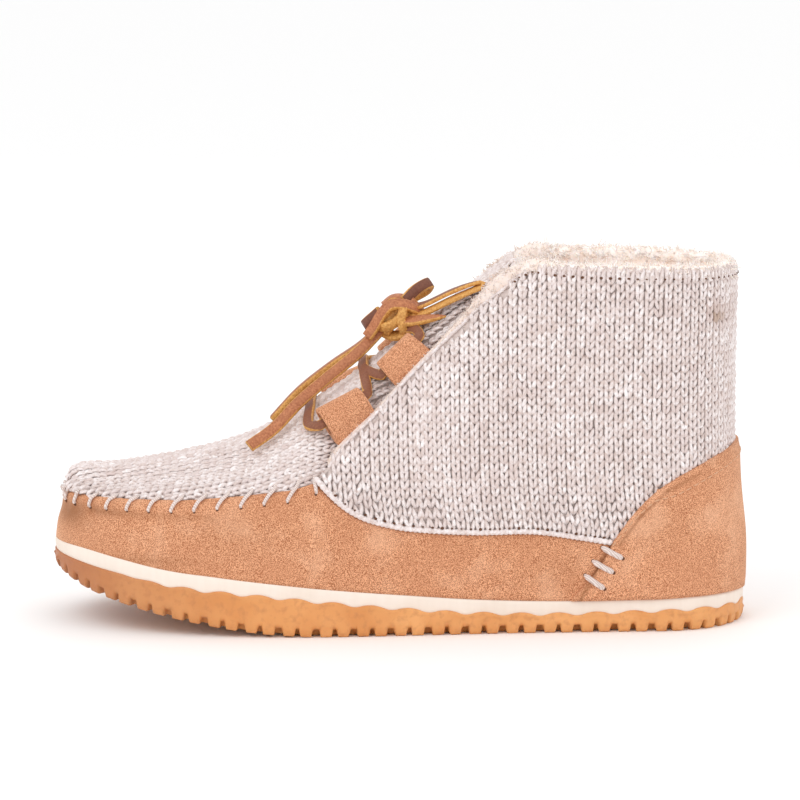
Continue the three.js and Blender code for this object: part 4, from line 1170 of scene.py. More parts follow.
def vamp_rows(side):
    """Every row's section at the foot, and where it meets the seam or the hem."""
    foot_x = section_at(np.maximum(vamp_foot, 1e-3), side)["foot_x"]
    reach = []
    for u, x in zip(vamp_foot, foot_x):
        s = section_at(np.array([max(u, 1e-3)]), side)
        t = np.linspace(0, 1, 400)
        line_x = s["foot_x"] + (s["ridge_x"] - s["foot_x"]) * t
        line_z = s["foot_z"] + (s["ridge_z"] - s["foot_z"]) * t
        reach.append(line_x[np.argmax(line_z > hem_z(line_x))])
    shift = knit_hem["x"][-1] - reach[-1]
    top_x = np.array(reach) + shift * smoothstep(-20, counter_foot_x, foot_x) ** 1.5
    hem_u, hem_v = locate(top_x, hem_z(top_x), side)
    seam = surface(vamp_foot, edge_v(vamp_foot, side), side)[0]
    on_seam = seam[:, 0] < vamp_edge_x
    ripple = gather_depth * np.cos(2 * np.pi * distances(seam) / whip_pitch)
    gather = (ripple + seam_tuck(vamp_foot)) * on_seam
    top_u = np.where(on_seam, vamp_foot, hem_u)
    top_v = np.where(on_seam, edge_v(vamp_foot, side), hem_v)
    return vamp_foot, top_u, top_v, gather


def wrapped(rows, lift, edge_drop, from_end):
    """Suede round one end of the shoe: the outer side to the end, then the inner side back."""
    outer = suede_wall(rows(-1), -1, lift, edge_drop)
    inner = suede_wall(rows(1), 1, lift, edge_drop)
    if from_end:
        return np.concatenate([outer[::-1], inner[1:]])
    return np.concatenate([outer, inner[-2::-1]])


# Places where the suede is darkened, in side view, among them painted shade along the plug's edge near the
# toe: centre, reach along and up, strength
darkened_places = [((-125, 43), 7, 5, 0.85), ((-112, 45.5), 12, 2.5, 0.3), ((-95, 28), 18, 2.5, 0.35),
               ((98, 40), 14, 9, 0.12), ((60, 24), 10, 8, 0.12), ((-60, 40), 14, 8, 0.12)]

# Lines of painted shade in the suede, in the crease under the toe's stitches and along the counter's edges:
# from, to, reach across, strength
shade_lines = [((79.6, 34.2), (67.8, 12.5), 0.6, 0.9), ((-116, 45.4), (-70, 45), 1.3, 0.3),
              ((82.4, 33.6), (90.6, 44.6), 0.6, 0.6), ((90.6, 44.6), (100.6, 53.9), 0.6, 0.6),
              ((100.6, 53.9), (116.6, 62.4), 0.6, 0.6), ((116.6, 62.4), (131, 67.8), 0.6, 0.6)]


def mark_dirt_and_shade(piece, everywhere):
    """Marks how dark each point of a suede piece is, from wear all over and from darkened places and painted
    shade lines.
    """
    place = np.empty(len(piece.data.vertices) * 3)
    piece.data.vertices.foreach_get("co", place)
    place = place.reshape(-1, 3) / MM
    dirt_and_shade = np.full(len(place), everywhere)
    for (x, z), reach_x, reach_z, strength in darkened_places:
        dirt_and_shade += strength * np.exp(-((place[:, 0] - x) / reach_x) ** 2 - ((place[:, 2] - z) / reach_z) ** 2)
    for line_from, line_to, reach, strength in shade_lines:
        span = np.subtract(line_to, line_from)
        away = place[:, [0, 2]] - line_from
        share = np.clip(away @ span / (span @ span), 0, 1)
        gap = np.linalg.norm(away - share[:, None] * span, axis=1)
        dirt_and_shade += strength * np.exp(-(gap / reach) ** 2)
    mark(piece, "dirt_and_shade", np.clip(dirt_and_shade, 0, 1))


vamp_points, vamp_faces = shell(wrapped(vamp_rows, suede_lift, 0.8, True),
                                wrapped(vamp_rows, suede_seat, 0, True))
vamp = add_piece("suede_vamp_wall", vamp_points, vamp_faces, napped_suede, "suede", ["suede_vamp"])
mark_dirt_and_shade(vamp, 0.08)

# Heel counter: suede cut to a wing each side and lapped over the knit and the end of the vamp wall,
# sewn down with one row of topstitching just inside its edge.
counter_count = 100
counter_lift = 2.7


def counter_rows(side):
    """Rows from the seam with the vamp wall round to the middle of the heel's back."""
    reach = np.linspace(0, 1, counter_count)
    back = np.linspace(50, 90, 400)
    start_x = counter_top["x"][0]
    end_x = back_x(back)[np.argmax(back > along(counter_top["x"], counter_top["z"], back_x(back)))]
    top_x = end_x - (end_x - start_x) * (1 - reach) ** 2
    top_u, top_v = locate(top_x, along(counter_top["x"], counter_top["z"], top_x), side)
    top_v[-1] = -1
    foot_u = np.linspace(vamp_foot[-1] - 0.12, heel_section, counter_count)
    return foot_u, top_u, top_v, np.zeros(counter_count)


counter_points, counter_faces = shell(wrapped(counter_rows, counter_lift, 0.25, False),
                                      wrapped(counter_rows, suede_seat, 0, False))
counter = add_piece("suede_heel_counter", counter_points, counter_faces, napped_suede, "suede",
                    ["heel_counter"])
mark_dirt_and_shade(counter, 0.02)

# Fleece lining: sheepskin-like wool pile behind the knit, all round the boot and behind the tongue.
lining_lift = -2.6
tongue_lining_lift = -4.4

# Wool fleece: curled cream pile, soft and matt, in clumps; a painted peach glow lifts it in its own shade.
wool_fleece, tree, shader = start_material("curled wool fleece", Roughness=1.0, Sheen_Weight=0.4)
shader.inputs["Subsurface Weight"].default_value = 0.15
shader.inputs["Subsurface Radius"].default_value = (0.004, 0.003, 0.002)
# Painted light: a faint peach glow that brightens the fleece where it lies in its own shade.
shader.inputs["Emission Color"].default_value = linear("#ffe8e0")
shader.inputs["Emission Strength"].default_value = 0.085
where = add_node(tree, "ShaderNodeTexCoord").outputs["Object"]
tufts = add_node(tree, "ShaderNodeTexNoise", {"Vector": where, "Scale": 320, "Detail": 4}).outputs["Fac"]
clumps = add_node(tree, "ShaderNodeMapRange", {"Value": tufts, 1: 0.35, 2: 0.65}).outputs[0]
tone = add_node(tree, "ShaderNodeMix", {0: clumps, 6: linear("#f6e6da"), 7: linear("#fffaf6")},
                data_type="RGBA").outputs[2]
# Painted shade: each piece's shade value darkens the fleece towards grey-peach.
painted_shade = add_node(tree, "ShaderNodeAttribute", attribute_name="shade").outputs["Fac"]
tone = add_node(tree, "ShaderNodeMix", {0: painted_shade, 6: tone, 7: linear("#d3bdb1")},
                data_type="RGBA").outputs[2]
tree.links.new(tone, shader.inputs["Base Color"])
relief = add_node(tree, "ShaderNodeBump", {"Height": tufts, "Strength": 0.7, "Distance": 0.0015})
tree.links.new(relief.outputs[0], shader.inputs["Normal"])
lining_points, lining_faces = shell(
    around(lambda u, side: side_wall(u, side, lining_lift)),
    around(lambda u, side: side_wall(u, side, wall_depth(u))))
add_piece("fleece_lining", lining_points, lining_faces, wool_fleece, "fleece")
lining_points, lining_faces = shell(panel_grid(lining_lift), panel_grid(tongue_lining_lift))
add_piece("fleece_tongue_lining", lining_points, lining_faces, wool_fleece, "fleece")

# Fleece rolls: the lining turned out over the edge of the quarters, so a line of pile follows the front
# edges from the throat up and runs round the collar. A thinner roll closes the top of the tongue.
roll_radius = 3.1
roll_widening = 1.3
roll_narrowing = 0.5
roll_past_throat = 0.2
roll_past_front = 3.2
roll_past_collar = -1.7
roll_start = 6.15
roll_standing = 0.55
roll_step = 1.5
roll_sides = 14
roll_unevenness = 0.07
front_painted_shade = 0.6
front_count = 90
collar_count = 89
tongue_roll_lift = -2.9
tongue_roll_radius = 2.1
tongue_roll_reach = 0.94


def quarter_edge(side):
    """Edge of a quarter from the throat up and round the collar: place, way it faces and way past it,
    then the roll's reach past it, radius, share sunk below it and its painted shade."""
    front_u = np.linspace(roll_start, collar_section, front_count)
    front_v = edge_v(front_u, side)
    collar_v = np.linspace(front_v[-1], -1, collar_count + 1)[1:]
    place, normal = surface(np.concatenate([front_u, np.full(collar_count, collar_section)]),
                            np.concatenate([front_v, collar_v]), side)
    heading = np.gradient(place, axis=0)
    past = unit(np.cross(heading, normal) * side)
    showing = smoothstep(0.2, 0.6, np.linspace(0, 1, front_count))
    beyond = roll_past_throat + (roll_past_front - roll_past_throat) * showing
    wider = roll_radius * (roll_narrowing + (roll_widening - roll_narrowing) * showing)
    on_front = (beyond, wider, 1 - roll_standing * showing, np.full(front_count, front_painted_shade))
    on_collar = (roll_past_collar, roll_radius, 1.0, 0.0)
    fields = [np.append(front, np.full(collar_count, collar))[:, None]
              for front, collar in zip(on_front, on_collar)]
    return place, normal, past, *fields


def softened(rows, times):
    """Rows evened with their neighbours a number of times."""
    for _ in range(times):
        padded = np.pad(rows, ((1, 1), (0, 0)), "edge")
        rows = (padded[:-2] + 2 * rows + padded[2:]) / 4
    return rows


outer_edge, inner_edge = quarter_edge(-1), quarter_edge(1)
rim_place, rim_facing, rim_past, rim_beyond, rim_girth, rim_sunk, rim_painted_shade = (
    np.concatenate([a, b[-2::-1]]) for a, b in zip(outer_edge, inner_edge))
rim_facing, rim_past = unit(softened(rim_facing, 6)), unit(softened(rim_past, 6))
rim_beyond, rim_girth, rim_sunk, rim_painted_shade = (
    softened(field, 60) for field in (rim_beyond, rim_girth, rim_sunk, rim_painted_shade))
rim_run = distances(rim_place)


def along_rim(travel, field):
    """Values of a field at distances travelled along the rim."""
    return straight_along(rim_run, field, travel)


roll_travel = np.arange(0, rim_run[-1], roll_step)
roll_facing = along_rim(roll_travel, rim_facing)
rim_centre = rim_place - rim_facing * rim_girth * rim_sunk + rim_past * rim_beyond
roll_centre = softened(along_rim(roll_travel, rim_centre), 4)
uneven = softened(random.normal(0, 1, (len(roll_travel), 1)), 2)[:, 0]
roll_girths = along_rim(roll_travel, rim_girth)[:, 0] * (1 + roll_unevenness * uneven)
roll_girths[[0, 1, -2, -1]] *= (0.5, 0.85, 0.85, 0.5)
roll = add_piece("fleece_roll", *tube(roll_centre, roll_girths, roll_sides, facing=roll_facing),
                 wool_fleece, "fleece")
# Painted shade: the roll is darkened along the quarters' front edges.
roll_painted_shade = along_rim(roll_travel, rim_painted_shade)[:, 0]
mark(roll, "shade", np.append(np.repeat(roll_painted_shade, roll_sides), (0, 0)))

tongue_shares = np.linspace(-tongue_roll_reach, tongue_roll_reach, 40)
tongue_rim, tongue_facing = panel_point(collar_section, tongue_shares, tongue_roll_lift)
tongue_girths = tongue_roll_radius * np.interp(
    np.abs(tongue_shares), [0, 0.8, tongue_roll_reach], [1, 1, 0.5])
add_piece("fleece_tongue_roll", *tube(tongue_rim, tongue_girths, 12, facing=tongue_facing),
          wool_fleece, "fleece")

# Pile: thousands of curls of wool standing on the rolls and on the lining below the collar, which give
# the fleece its woolly outline. Each curl is one strand of a few bent lengths, rooted in the fleece.
pile_count = 7600
pile_scale = 0.95
tongue_count = 1000
tongue_pile_reach = 0.92
tongue_pile_root = 2.0
band_count = 4200
band_from = 15.5
band_top = 0.75
wool_curl = pattern("wool curl", *tube(
    [(0, 0, -0.4), (0.3, 0.1, 0.6), (-0.1, 0.5, 1.3)], [0.2, 0.24, 0.12], 3, facing=(1, 0, 0)))

# Every so many curls one is drawn out to a long thin wisp
wisp_every = 9
wisp_stretch = (0.6, 0.9, 2.3)


def lay_pile(name, places, facings, scale, painted_shade=0.0):
    """Curls of wool leaning every way from the given places, darkened by the given share of painted shade."""
    count = len(places)
    sizes = np.repeat(random.uniform(0.65, 1.25, (count, 1)), 3, axis=1) * scale
    sizes[::wisp_every] *= wisp_stretch
    leaning = facings + random.normal(0, 0.7, (count, 3))
    return lay_forms(name, places, leaning, random.normal(0, 1, (count, 3)), wool_curl, wool_fleece,
                     sizes, np.broadcast_to(painted_shade, count))


pile_travel = random.uniform(1.5, rim_run[-1] - 1.5, pile_count)
pile_turn = random.uniform(-0.55 * np.pi, 1.55 * np.pi, pile_count)
pile_facing = unit(along_rim(pile_travel, rim_past) * np.sin(pile_turn)[:, None]
                   + along_rim(pile_travel, rim_facing) * -np.cos(pile_turn)[:, None])
pile_root = straight_along(roll_travel, roll_centre, pile_travel)
pile_girth = along_rim(pile_travel, rim_girth)
lay_pile("fleece_roll_pile", pile_root + pile_facing * pile_girth * 0.98, pile_facing,
         pile_scale * np.minimum(1, pile_girth / roll_radius),
         np.interp(pile_travel, roll_travel, roll_painted_shade))
tongue_share = random.uniform(-tongue_pile_reach, tongue_pile_reach, tongue_count)
tongue_turn = random.uniform(0, 2 * np.pi, tongue_count)
tongue_root, tongue_front = panel_point(collar_section, tongue_share, tongue_roll_lift)
tongue_side = unit(np.cross(tongue_front, (0.0, 1.0, 0.0)))
tongue_out = tongue_front * np.cos(tongue_turn)[:, None] + tongue_side * np.sin(tongue_turn)[:, None]
lay_pile("fleece_tongue_pile", tongue_root + tongue_out * tongue_pile_root, tongue_out, 0.8)
band_side = random.choice([-1, 1], band_count)
band_u = random.uniform(band_from, collar_section, band_count)
band_v = random.uniform(-1, band_top, band_count)
band_place = np.empty((band_count, 3))
band_facing = np.empty((band_count, 3))
for side in (-1, 1):
    on_side = band_side == side
    at_u = band_u[on_side]
    band_place[on_side], facing_out = surface(at_u, band_v[on_side], side, wall_depth(at_u))
    band_facing[on_side] = -facing_out
lay_pile("fleece_lining_pile", band_place, band_facing, 1.1)

# Footbed: a board covered in the same fleece, lying loose on the midsole inside the boot. Its pile
# shows only through the collar.
bed_low = 0.3
bed_high = 3.5
bed_inset = 7.0
bed_crown = 0.9
bed_count = 1200
bed_end = feather_scale * length / 2 - bed_inset
bed_x = -bed_end * np.cos(np.linspace(0.02, np.pi - 0.02, 70))
bed_shares = np.linspace(-1, 1, 41)


def bed_grid(rise, crown):
    """Grid of the footbed's upper or lower face, lower at its edges by the crown."""
    rows = []
    for x in bed_x:
        at = x / bed_end
        half = [feather_scale * outline_half(at * length / 2, side) for side in (-1, 1)]
        narrower = 1 - bed_inset / max(half) * min(1, 1.7 * math.sqrt(max(0, 1 - at * at)))
        y = np.where(bed_shares < 0, half[0], half[1]) * bed_shares * max(narrower, 0.3)
        z = sole_height("top", x) + rise - crown * bed_shares ** 4
        rows.append(np.column_stack([np.full(len(y), x), y, z]))
    return np.array(rows)


bed_top = bed_grid(bed_high, bed_crown)
bed_points, bed_faces = shell(bed_top, bed_grid(bed_low, 0))
add_piece("fleece_footbed", bed_points, bed_faces, wool_fleece, "fleece", ["insole"])
bed_row = random.integers(30, len(bed_x), bed_count)
bed_column = random.integers(1, len(bed_shares) - 1, bed_count)
bed_spot = bed_top[bed_row, bed_column] + random.uniform(-1.5, 1.5, (bed_count, 3)) * (1, 1, 0)
lay_pile("fleece_footbed_pile", bed_spot, np.tile((0.0, 0.0, 1.0), (bed_count, 1)), 1.3)

# Turned edges of the knit: the cut edge is folded in round the collar, the front edges and the hem,
# which leaves a plump rim of yarn, knobbly from the ends of the stitches.
rim_step = 0.6
rim_swell = 0.16
rim_radius = 0.8
rim_inset = 0.5
rim_sides = 8
rim_shade_spread = 0.25
hem_start_x = -31
hem_step = 0.5
hem_radius = 1.1
hem_up = 0.7
hem_least_lift = 1.5
rim_strand = along_rim(np.arange(0, rim_run[-1], rim_step), rim_place - (rim_facing + rim_past) * rim_inset)
hem_strands = []


def plump(points, radius):
    """Radii along a rim that swells once for each leg of the stitches it closes off."""
    return radius * (1 + rim_swell * np.sin(4 * np.pi * distances(points) / stitch_width))


for side in (-1, 1):
    hem_x = np.arange(hem_start_x, knit_hem["x"][-1], hem_step)
    hem_line = hem_z(hem_x) + hem_up
    hem_lift = np.maximum(hem_least_lift, knit_lift(hem_x, hem_line) - 0.1)
    hem_place, hem_facing = surface(*locate(hem_x, hem_line, side), side, hem_lift)
    hem_strands.append(tube(hem_place, plump(hem_place, hem_radius), rim_sides, facing=hem_facing))
rim_tube = tube(rim_strand, plump(rim_strand, rim_radius), rim_sides)
rim_points, rim_faces = joined([rim_tube] + hem_strands)
knit_rim = add_piece("knit_turned_edges", rim_points, rim_faces, heather_yarn, "knit")
rim_shades = random.normal(stitch_shade, rim_shade_spread, len(knit_rim.data.vertices))
mark(knit_rim, "shade", np.clip(rim_shades, 0, 1))

# Lace tabs: strips of the suede folded into loops, their tails sewn behind the front edges of the
# quarters, two on each side, standing out over the tongue.
tab_places = {"lower": -15.5, "upper": 5.5}
tab_length = 19
tab_reach = 15
tab_ply = 1.4
tab_tilt = math.radians(34)
tab_mouth = 1.2
tunnel_near = 5.6
tunnel_half = 2.3
tab_depth = 2.1
tab_out = 1.5
tab_step = 0.3
tab_worn = 0.1

# Pull of the lace on each tab: how far its fold is dragged along X and Z at its toe end and upper end
tab_pull = {"lower": ((1.5, 3.3), (3.7, -1.5)), "upper": ((2.8, -0.6), (1.6, -2.8))}


def tab_loop(half, start, near):
    """Outline of the folded strip in its own plane: out along the lower ply, round the fold and back."""
    turn_x = tab_reach - tunnel_half - tab_ply
    turns = np.linspace(-np.pi / 2, np.pi / 2, 13)
    fold = np.column_stack([turn_x + half * np.cos(turns), half * np.sin(turns)])
    out = np.column_stack([np.linspace(start[0], near, 5), -np.linspace(start[1], half, 5)])
    flat = np.column_stack([np.linspace(near, turn_x, 7)[1:-1], np.full(5, -half)])
    lower = np.concatenate([out, flat])
    return np.concatenate([lower, fold, lower[::-1] * (1, -1)])


def tab_point(tab, along_run, out, up):
    """Place on a tab from distances along its run, out from its seam and up off its middle."""
    base, run, reach, rise, (toe_pull, top_pull) = tab
    drag = np.array(toe_pull) + (np.array(top_pull) - toe_pull) * (along_run / tab_length + 0.5)
    pulled = out / tab_reach * np.array((drag[0], 0, drag[1]))
    return base + run * along_run + out * reach + up * rise + pulled


def tab_mesh(tab):
    """Closed loop of the folded strip, its cut ends a little rounded."""
    stations = np.array([-1, -0.985, -0.94, -0.5, 0, 0.5, 0.94, 0.985, 1]) * tab_length / 2
    thin = np.array([0.5, 0.2, 0, 0, 0, 0, 0, 0.2, 0.5])
    rings = []
    for along_run, less in zip(stations, thin):
        outer = tab_loop(tunnel_half + tab_ply - less, (0, tab_ply - less * 0.6), tunnel_near)
        hole = tab_loop(tunnel_half + less * 0.3, (tunnel_near - tab_mouth, 0), tunnel_near)
        for loop in (outer, hole):
            rings.append(tab_point(tab, along_run, loop[:, :1], loop[:, 1:]))
    count = len(rings[0])
    index = np.arange(len(rings) * count).reshape(len(stations), 2, count)
    after = np.roll(index, -1, axis=2)
    outside = np.stack([index[:-1, 0], after[:-1, 0], after[1:, 0], index[1:, 0]], -1).reshape(-1, 4)
    inside = np.stack([index[:-1, 1], index[1:, 1], after[1:, 1], after[:-1, 1]], -1).reshape(-1, 4)
    ends = [np.stack([index[k, a], index[k, b], after[k, b], after[k, a]], -1)
            for k, a, b in ((0, 0, 1), (-1, 1, 0))]
    return np.concatenate(rings), np.concatenate([outside, inside] + ends).tolist()


edge_line = {side: surface(section_run, edge_run[side], side)[0] for side in (-1, 1)}
tabs = {}
for tab_name, tab_x in tab_places.items():
    for side, side_name in ((-1, "outer"), (1, "inner")):
        on_edge = section_run > throat_section - 1
        u = float(np.interp(tab_x, edge_line[side][on_edge, 0], section_run[on_edge]))
        corner, normal = surface(u, edge_v(u, side), side)
        above, below = (surface(at, edge_v(at, side), side)[0] for at in (u + tab_step, u - tab_step))
        run = unit(above - below)
        out = unit(np.cross(run, normal))
        out = out if out[2] > 0 else -out
        reach = out * math.cos(tab_tilt) + normal * math.sin(tab_tilt)
        rise = unit(np.cross(reach, run))
        rise = rise if rise @ normal > 0 else -rise
        base = corner - normal * tab_depth + out * tab_out
        name = f"tab_{tab_name}_{side_name}"
        tabs[tab_name, side] = (base, run, reach, rise, tab_pull[tab_name])
        tab = add_piece("suede_" + name, *tab_mesh(tabs[tab_name, side]), napped_suede, "suede", [name])
        mark_dirt_and_shade(tab, tab_worn)

# Lace through the tabs: from the knot down through the upper tabs, one crossing over the tongue,
# through the lower tabs and a bar between them.
lace_lift = 2.3
tunnel_turn = 1.8
knot_entry = 7.9
crossing_u = 7.02
crossing_shares = (0.3, 0, -0.3)
bar_u = 5.76
bar_shares = (0.5, 0.25, 0)
pulled_width = 3.9
pulled_thickness = 1.8
tab_distances = [tab_length / 2 + tunnel_turn, tab_length / 2, tab_length / 4,
                 -tab_length / 4, -tab_length / 2, -tab_length / 2 - tunnel_turn]


def over_tongue(u, share):
    """Place of the lace over the tongue, and the way it faces there."""
    side = -1 if share < 0 else 1
    return surface(u, 1 - abs(share) * (1 - edge_v(u, side)), side, lace_lift)


def half_lace(side):
    """Route of one half of the lace and the way its grain face looks along it."""
    entry = knot_centre + unit(np.array([0.45, side * 0.8, -0.4])) * knot_entry
    upper, lower = tabs["upper", side], tabs["lower", -side]
    tunnel = (tunnel_near + tab_reach - tab_ply) / 2
    first = tab_point(upper, tab_distances[0], tunnel, 0)
    stops = [(entry, upper[3]), (entry + (first - entry) * 0.55 + (1, 0, 1), upper[3])]
    stops += [(tab_point(upper, d, tunnel, 0), upper[3]) for d in tab_distances]
    stops += [over_tongue(crossing_u, share * side) for share in crossing_shares]
    stops += [(tab_point(lower, d, tunnel, 0), lower[3]) for d in tab_distances]
    stops += [over_tongue(bar_u, -side * share) for share in bar_shares]
    return [p for p, _ in stops], [n for _, n in stops]


# The crossings lie in shade, which is painted on their grain.
add_lace("lace_through_tabs",
         [ribbon(*half_lace(side), width=pulled_width, thickness=pulled_thickness) for side in (-1, 1)],
         ["lace_crossings"], painted_lace_shade=0.6)

# Whip stitches: thick pale yarn through holes in the suede's edge and over the plug's rolled rim,
# gathering the plug round the toe.
whip_hole_below = 4.4
whip_radius = 0.68
whip_lean = 3.4
last_whip_lean = -1.5
whip_spacing = 0.7
whip_shape = ([0, 0.1, 0.5, 0.9, 1], [0.6, 0.95, 1.05, 0.95, 0.6])
height_step = 0.05

# Waxed yarn: pale and smooth, lighter than the knit.
pale_yarn, tree, shader = start_material("waxed pale yarn", Roughness=0.8, Sheen_Weight=0.2)
where = add_node(tree, "ShaderNodeTexCoord").outputs["Object"]
twist = add_node(tree, "ShaderNodeTexWave", {"Vector": where, "Scale": 480, "Distortion": 4, "Detail": 2},
                 bands_direction="DIAGONAL").outputs["Fac"]
tone = add_node(tree, "ShaderNodeMix", {0: twist, 6: linear("#cdb7ae"), 7: linear("#efe3de")},
                data_type="RGBA").outputs[2]
tree.links.new(tone, shader.inputs["Base Color"])
relief = add_node(tree, "ShaderNodeBump", {"Height": twist, "Strength": 0.4, "Distance": 0.0004})
tree.links.new(relief.outputs[0], shader.inputs["Normal"])

# Needle hole: a dark disc of painted shade for the shadowed inside of the pierced suede.
hole_dark, tree, shader = start_material("shaded needle hole", Roughness=1.0)
where = add_node(tree, "ShaderNodeTexCoord").outputs["Object"]
depth = add_node(tree, "ShaderNodeTexNoise", {"Vector": where, "Scale": 900}).outputs["Fac"]
tone = add_node(tree, "ShaderNodeMix", {0: depth, 6: linear("#4a2f22"), 7: linear("#7a5038")},
                data_type="RGBA").outputs[2]
tree.links.new(tone, shader.inputs["Base Color"])
needle_hole = pattern("needle hole", *tube([(0, 0, -0.6), (0, 0, 0.0), (0, 0, 0.12)], [0.7, 0.75, 0.5], 8,
                                           facing=(1, 0, 0)))
whip_tubes = []
hole_places = []
hole_facings = []
for side in (-1, 1):
    seam_u = np.linspace(0.02, 6.0, 400)
    seam_run = distances(surface(seam_u, edge_v(seam_u, side), side)[0])
    for travel in np.arange(whip_pitch / 2, seam_run[-1] - 1, whip_pitch):
        last_one = travel > seam_run[-1] - whip_pitch
        lean = last_whip_lean if last_one else whip_lean
        hole_u, top_u = np.interp([travel - lean / 2, travel + lean / 2], seam_run, seam_u)
        rim_v = edge_v(hole_u, side)
        above, below = (surface(hole_u, at, side)[0] for at in (rim_v, rim_v - height_step))
        down = np.linalg.norm(above - below) / height_step
        hole_v = rim_v - whip_hole_below / down
        tuck = seam_tuck(hole_u)
        hole_place, hole_facing = surface(hole_u, hole_v, side, suede_lift - 0.25 + 0.7 * tuck)
        u_mid = (hole_u + top_u) / 2
        v_mid = edge_v(u_mid, side)
        whip_route = [surface(hole_u, hole_v, side, suede_lift - 0.8 + tuck)[0],
                      surface(hole_u, hole_v + 1 / down, side, suede_lift + 0.4 + tuck)[0],
                      surface(u_mid, v_mid - 0.8 / down, side, suede_lift + 0.5 + tuck)[0],
                      panel_point(top_u, side * 0.97, 1.5)[0],
                      panel_point(top_u, side * 0.88, -0.6)[0]]
        whip_path = route_through(whip_route, whip_spacing)[0]
        whip_thins = np.interp(np.linspace(0, 1, len(whip_path)), *whip_shape)
        whip_tubes.append(tube(whip_path, whip_radius * whip_thins, 8, facing=hole_facing))
        hole_places.append(hole_place)
        hole_facings.append(hole_facing)
add_piece("whip_stitches", *joined(whip_tubes), pale_yarn, "knit")

# Counter stitches: three heavy stitches of the same yarn that tie the counter to the vamp wall, one
# above the other across the seam on each side.
heavy_radius = 1.1
heavy_sink = 0.9
heavy_arch = 1.5

# Each stitch in side view: from its hole in the vamp wall to its hole in the counter
counter_stitches = [((75.9, 32.8), (83.7, 28.6)), ((72.5, 27.6), (80.3, 23.2)),
                    ((69.5, 22.2), (76.9, 17.0))]
heavy_tubes = []
for side in (-1, 1):
    for (from_x, from_z), (to_x, to_z) in counter_stitches:
        reach = np.linspace(0, 1, 9)
        u, v = locate(from_x + (to_x - from_x) * reach, from_z + (to_z - from_z) * reach, side)
        lift = counter_lift - heavy_sink + heavy_arch * np.sin(np.pi * reach) ** 0.5
        heavy_radii = heavy_radius * np.interp(reach, [0, 0.12, 0.88, 1], [0.6, 1, 1, 0.6])
        heavy_facing = surface(u[4], v[4], side)[1]
        heavy_tubes.append(tube(surface(u, v, side, lift)[0], heavy_radii, 8, facing=heavy_facing))
        for end in (0, -1):
            place, facing = surface(u[end], v[end], side, (suede_lift, counter_lift)[end] + 0.05)
            hole_places.append(place)
            hole_facings.append(facing)
add_piece("counter_stitches", *joined(heavy_tubes), pale_yarn, "knit")
lay_forms("needle_holes", hole_places, hole_facings, random.normal(0, 1, (len(hole_places), 3)),
          needle_hole, hole_dark)

# Topstitching: one row of fine tan thread just inside the counter's edge. Round the collar and along
# the hem the thread sinks into the knit, and only dark discs of painted shade mark its needle holes.
seam_pitch = 3.3
seam_inset = 2.0
dot_pitch = 3.4
dot_first = 78
dot_below = 3.0
dot_proud = 1.0
hem_dot_pitch = 3.6
hem_dot_from = -24
hem_dot_up = 2.0
hem_dot_proud = 0.9
thread_stitch = pattern("thread stitch", *tube(
    [(0, -1.2, -0.25), (0, -0.7, 0.12), (0, 0.7, 0.12), (0, 1.2, -0.25)], [0.2, 0.28, 0.28, 0.2], 5))

# Sewing thread: tan, a shade lighter than the suede.
tan_thread, tree, shader = start_material("tan sewing thread", Roughness=0.7)
where = add_node(tree, "ShaderNodeTexCoord").outputs["Object"]
ply = add_node(tree, "ShaderNodeTexNoise", {"Vector": where, "Scale": 1200}).outputs["Fac"]
tone = add_node(tree, "ShaderNodeMix", {0: ply, 6: linear("#c08f6c"), 7: linear("#e2b592")},
                data_type="RGBA").outputs[2]
tree.links.new(tone, shader.inputs["Base Color"])
thread_places = []
thread_facings = []
thread_lays = []
for side in (-1, 1):
    foot_u, top_u, top_v, _ = counter_rows(side)
    top_place = surface(top_u, top_v, side)[0]
    foot_place = surface(foot_u, np.full(counter_count, -1.0), side)[0]
    inset = 1 - seam_inset / np.maximum(np.linalg.norm(top_place - foot_place, axis=1), 4)
    u = foot_u + (top_u - foot_u) * inset
    v = -1 + (top_v + 1) * inset
    line, facing = surface(u, v, side, counter_lift)
    run = distances(line)
    stops = np.arange(2.5, run[-1], seam_pitch)
    heading = unit(np.gradient(line, axis=0))
    for field, kept in ((line, thread_places), (facing, thread_facings), (heading, thread_lays)):
        kept.append(straight_along(run, field, stops))
dot_travel = np.arange(rim_run[dot_first], rim_run[-dot_first - 1], dot_pitch)
dot_places = [along_rim(dot_travel, rim_place - rim_past * dot_below + rim_facing * dot_proud)]
dot_facings = [along_rim(dot_travel, rim_facing)]
for side in (-1, 1):
    dot_x = np.arange(hem_dot_from, knit_hem["x"][-1] - 2, hem_dot_pitch)
    dot_line = hem_z(dot_x) + hem_dot_up
    dot_lift = knit_lift(dot_x, dot_line) + hem_dot_proud
    place, facing = surface(*locate(dot_x, dot_line, side), side, dot_lift)
    dot_places.append(place)
    dot_facings.append(facing)
dot_places = np.concatenate(dot_places)
dot_facings = np.concatenate(dot_facings)
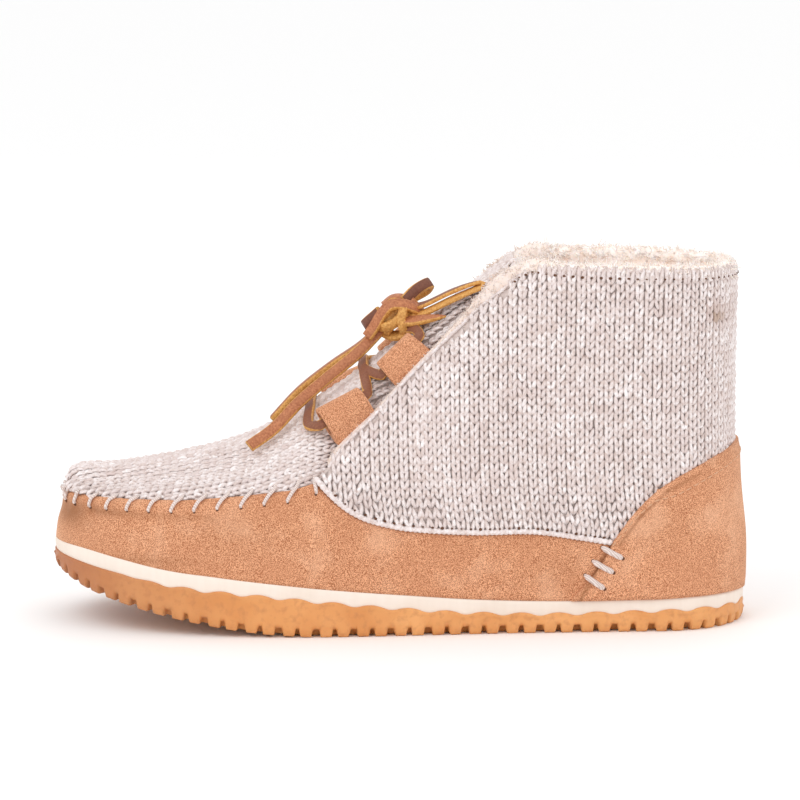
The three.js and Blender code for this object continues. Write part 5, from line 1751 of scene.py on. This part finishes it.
dot_sizes = random.uniform(0.5, 0.9, (len(dot_places), 1)) * (1.0, 0.8, 1.0)
lay_forms("knit_topstitching", dot_places, dot_facings, np.tile((0.0, 0.0, 1.0), (len(dot_places), 1)),
          needle_hole, hole_dark, dot_sizes)
lay_forms("counter_topstitching", np.concatenate(thread_places), np.concatenate(thread_facings),
          np.concatenate(thread_lays), thread_stitch, tan_thread)

# Tread: blocks moulded in one with the outsole, in staggered rows inside the ring of lugs.
block_pitch_x = 13
block_pitch_y = 10.5
tread_from_toe = 16
tread_from_heel = 14
tread_inset = 13
tread_block = pattern(
    "tread block",
    [(-4.6, -1, 0), (0, -3.6, 0), (4.6, -1, 0), (4.6, 2.4, 0), (0, -0.2, 0), (-4.6, 2.4, 0),
     (-4.2, -0.7, 2.6), (0, -3.1, 2.6), (4.2, -0.7, 2.6), (4.2, 1.8, 2.6), (0, -0.6, 2.6), (-4.2, 1.8, 2.6)],
    [[0, 1, 7, 6], [1, 2, 8, 7], [2, 3, 9, 8], [3, 4, 10, 9], [4, 5, 11, 10], [5, 0, 6, 11],
     [6, 7, 10, 11], [7, 8, 9, 10], [5, 4, 1, 0], [4, 3, 2, 1]])
tread_places = []
for i, x in enumerate(np.arange(-length / 2 + tread_from_toe, length / 2 - tread_from_heel, block_pitch_x)):
    for y in np.arange(-5, 6) * block_pitch_y + (i % 2) * block_pitch_y / 2:
        if abs(y) < outline_half(x, -1 if y < 0 else 1) - tread_inset:
            tread_places.append((x, y, sole_height("bottom", x) + lug_depth + 0.1))
tread_places = np.array(tread_places)
slope = (sole_height("bottom", tread_places[:, 0] + 1) - sole_height("bottom", tread_places[:, 0] - 1)) / 2
tread_facings = unit(np.column_stack([slope, 0 * slope, -np.ones(len(slope))]))
lay_forms("gum_tread_blocks", tread_places, tread_facings, np.tile((1.0, 0.0, 0.0), (len(slope), 1)),
          tread_block, gum_rubber)

# The forms that were laid many times have done their work.
for form in (knit_stitch, wool_curl, needle_hole, thread_stitch, tread_block):
    bpy.data.objects.remove(form)
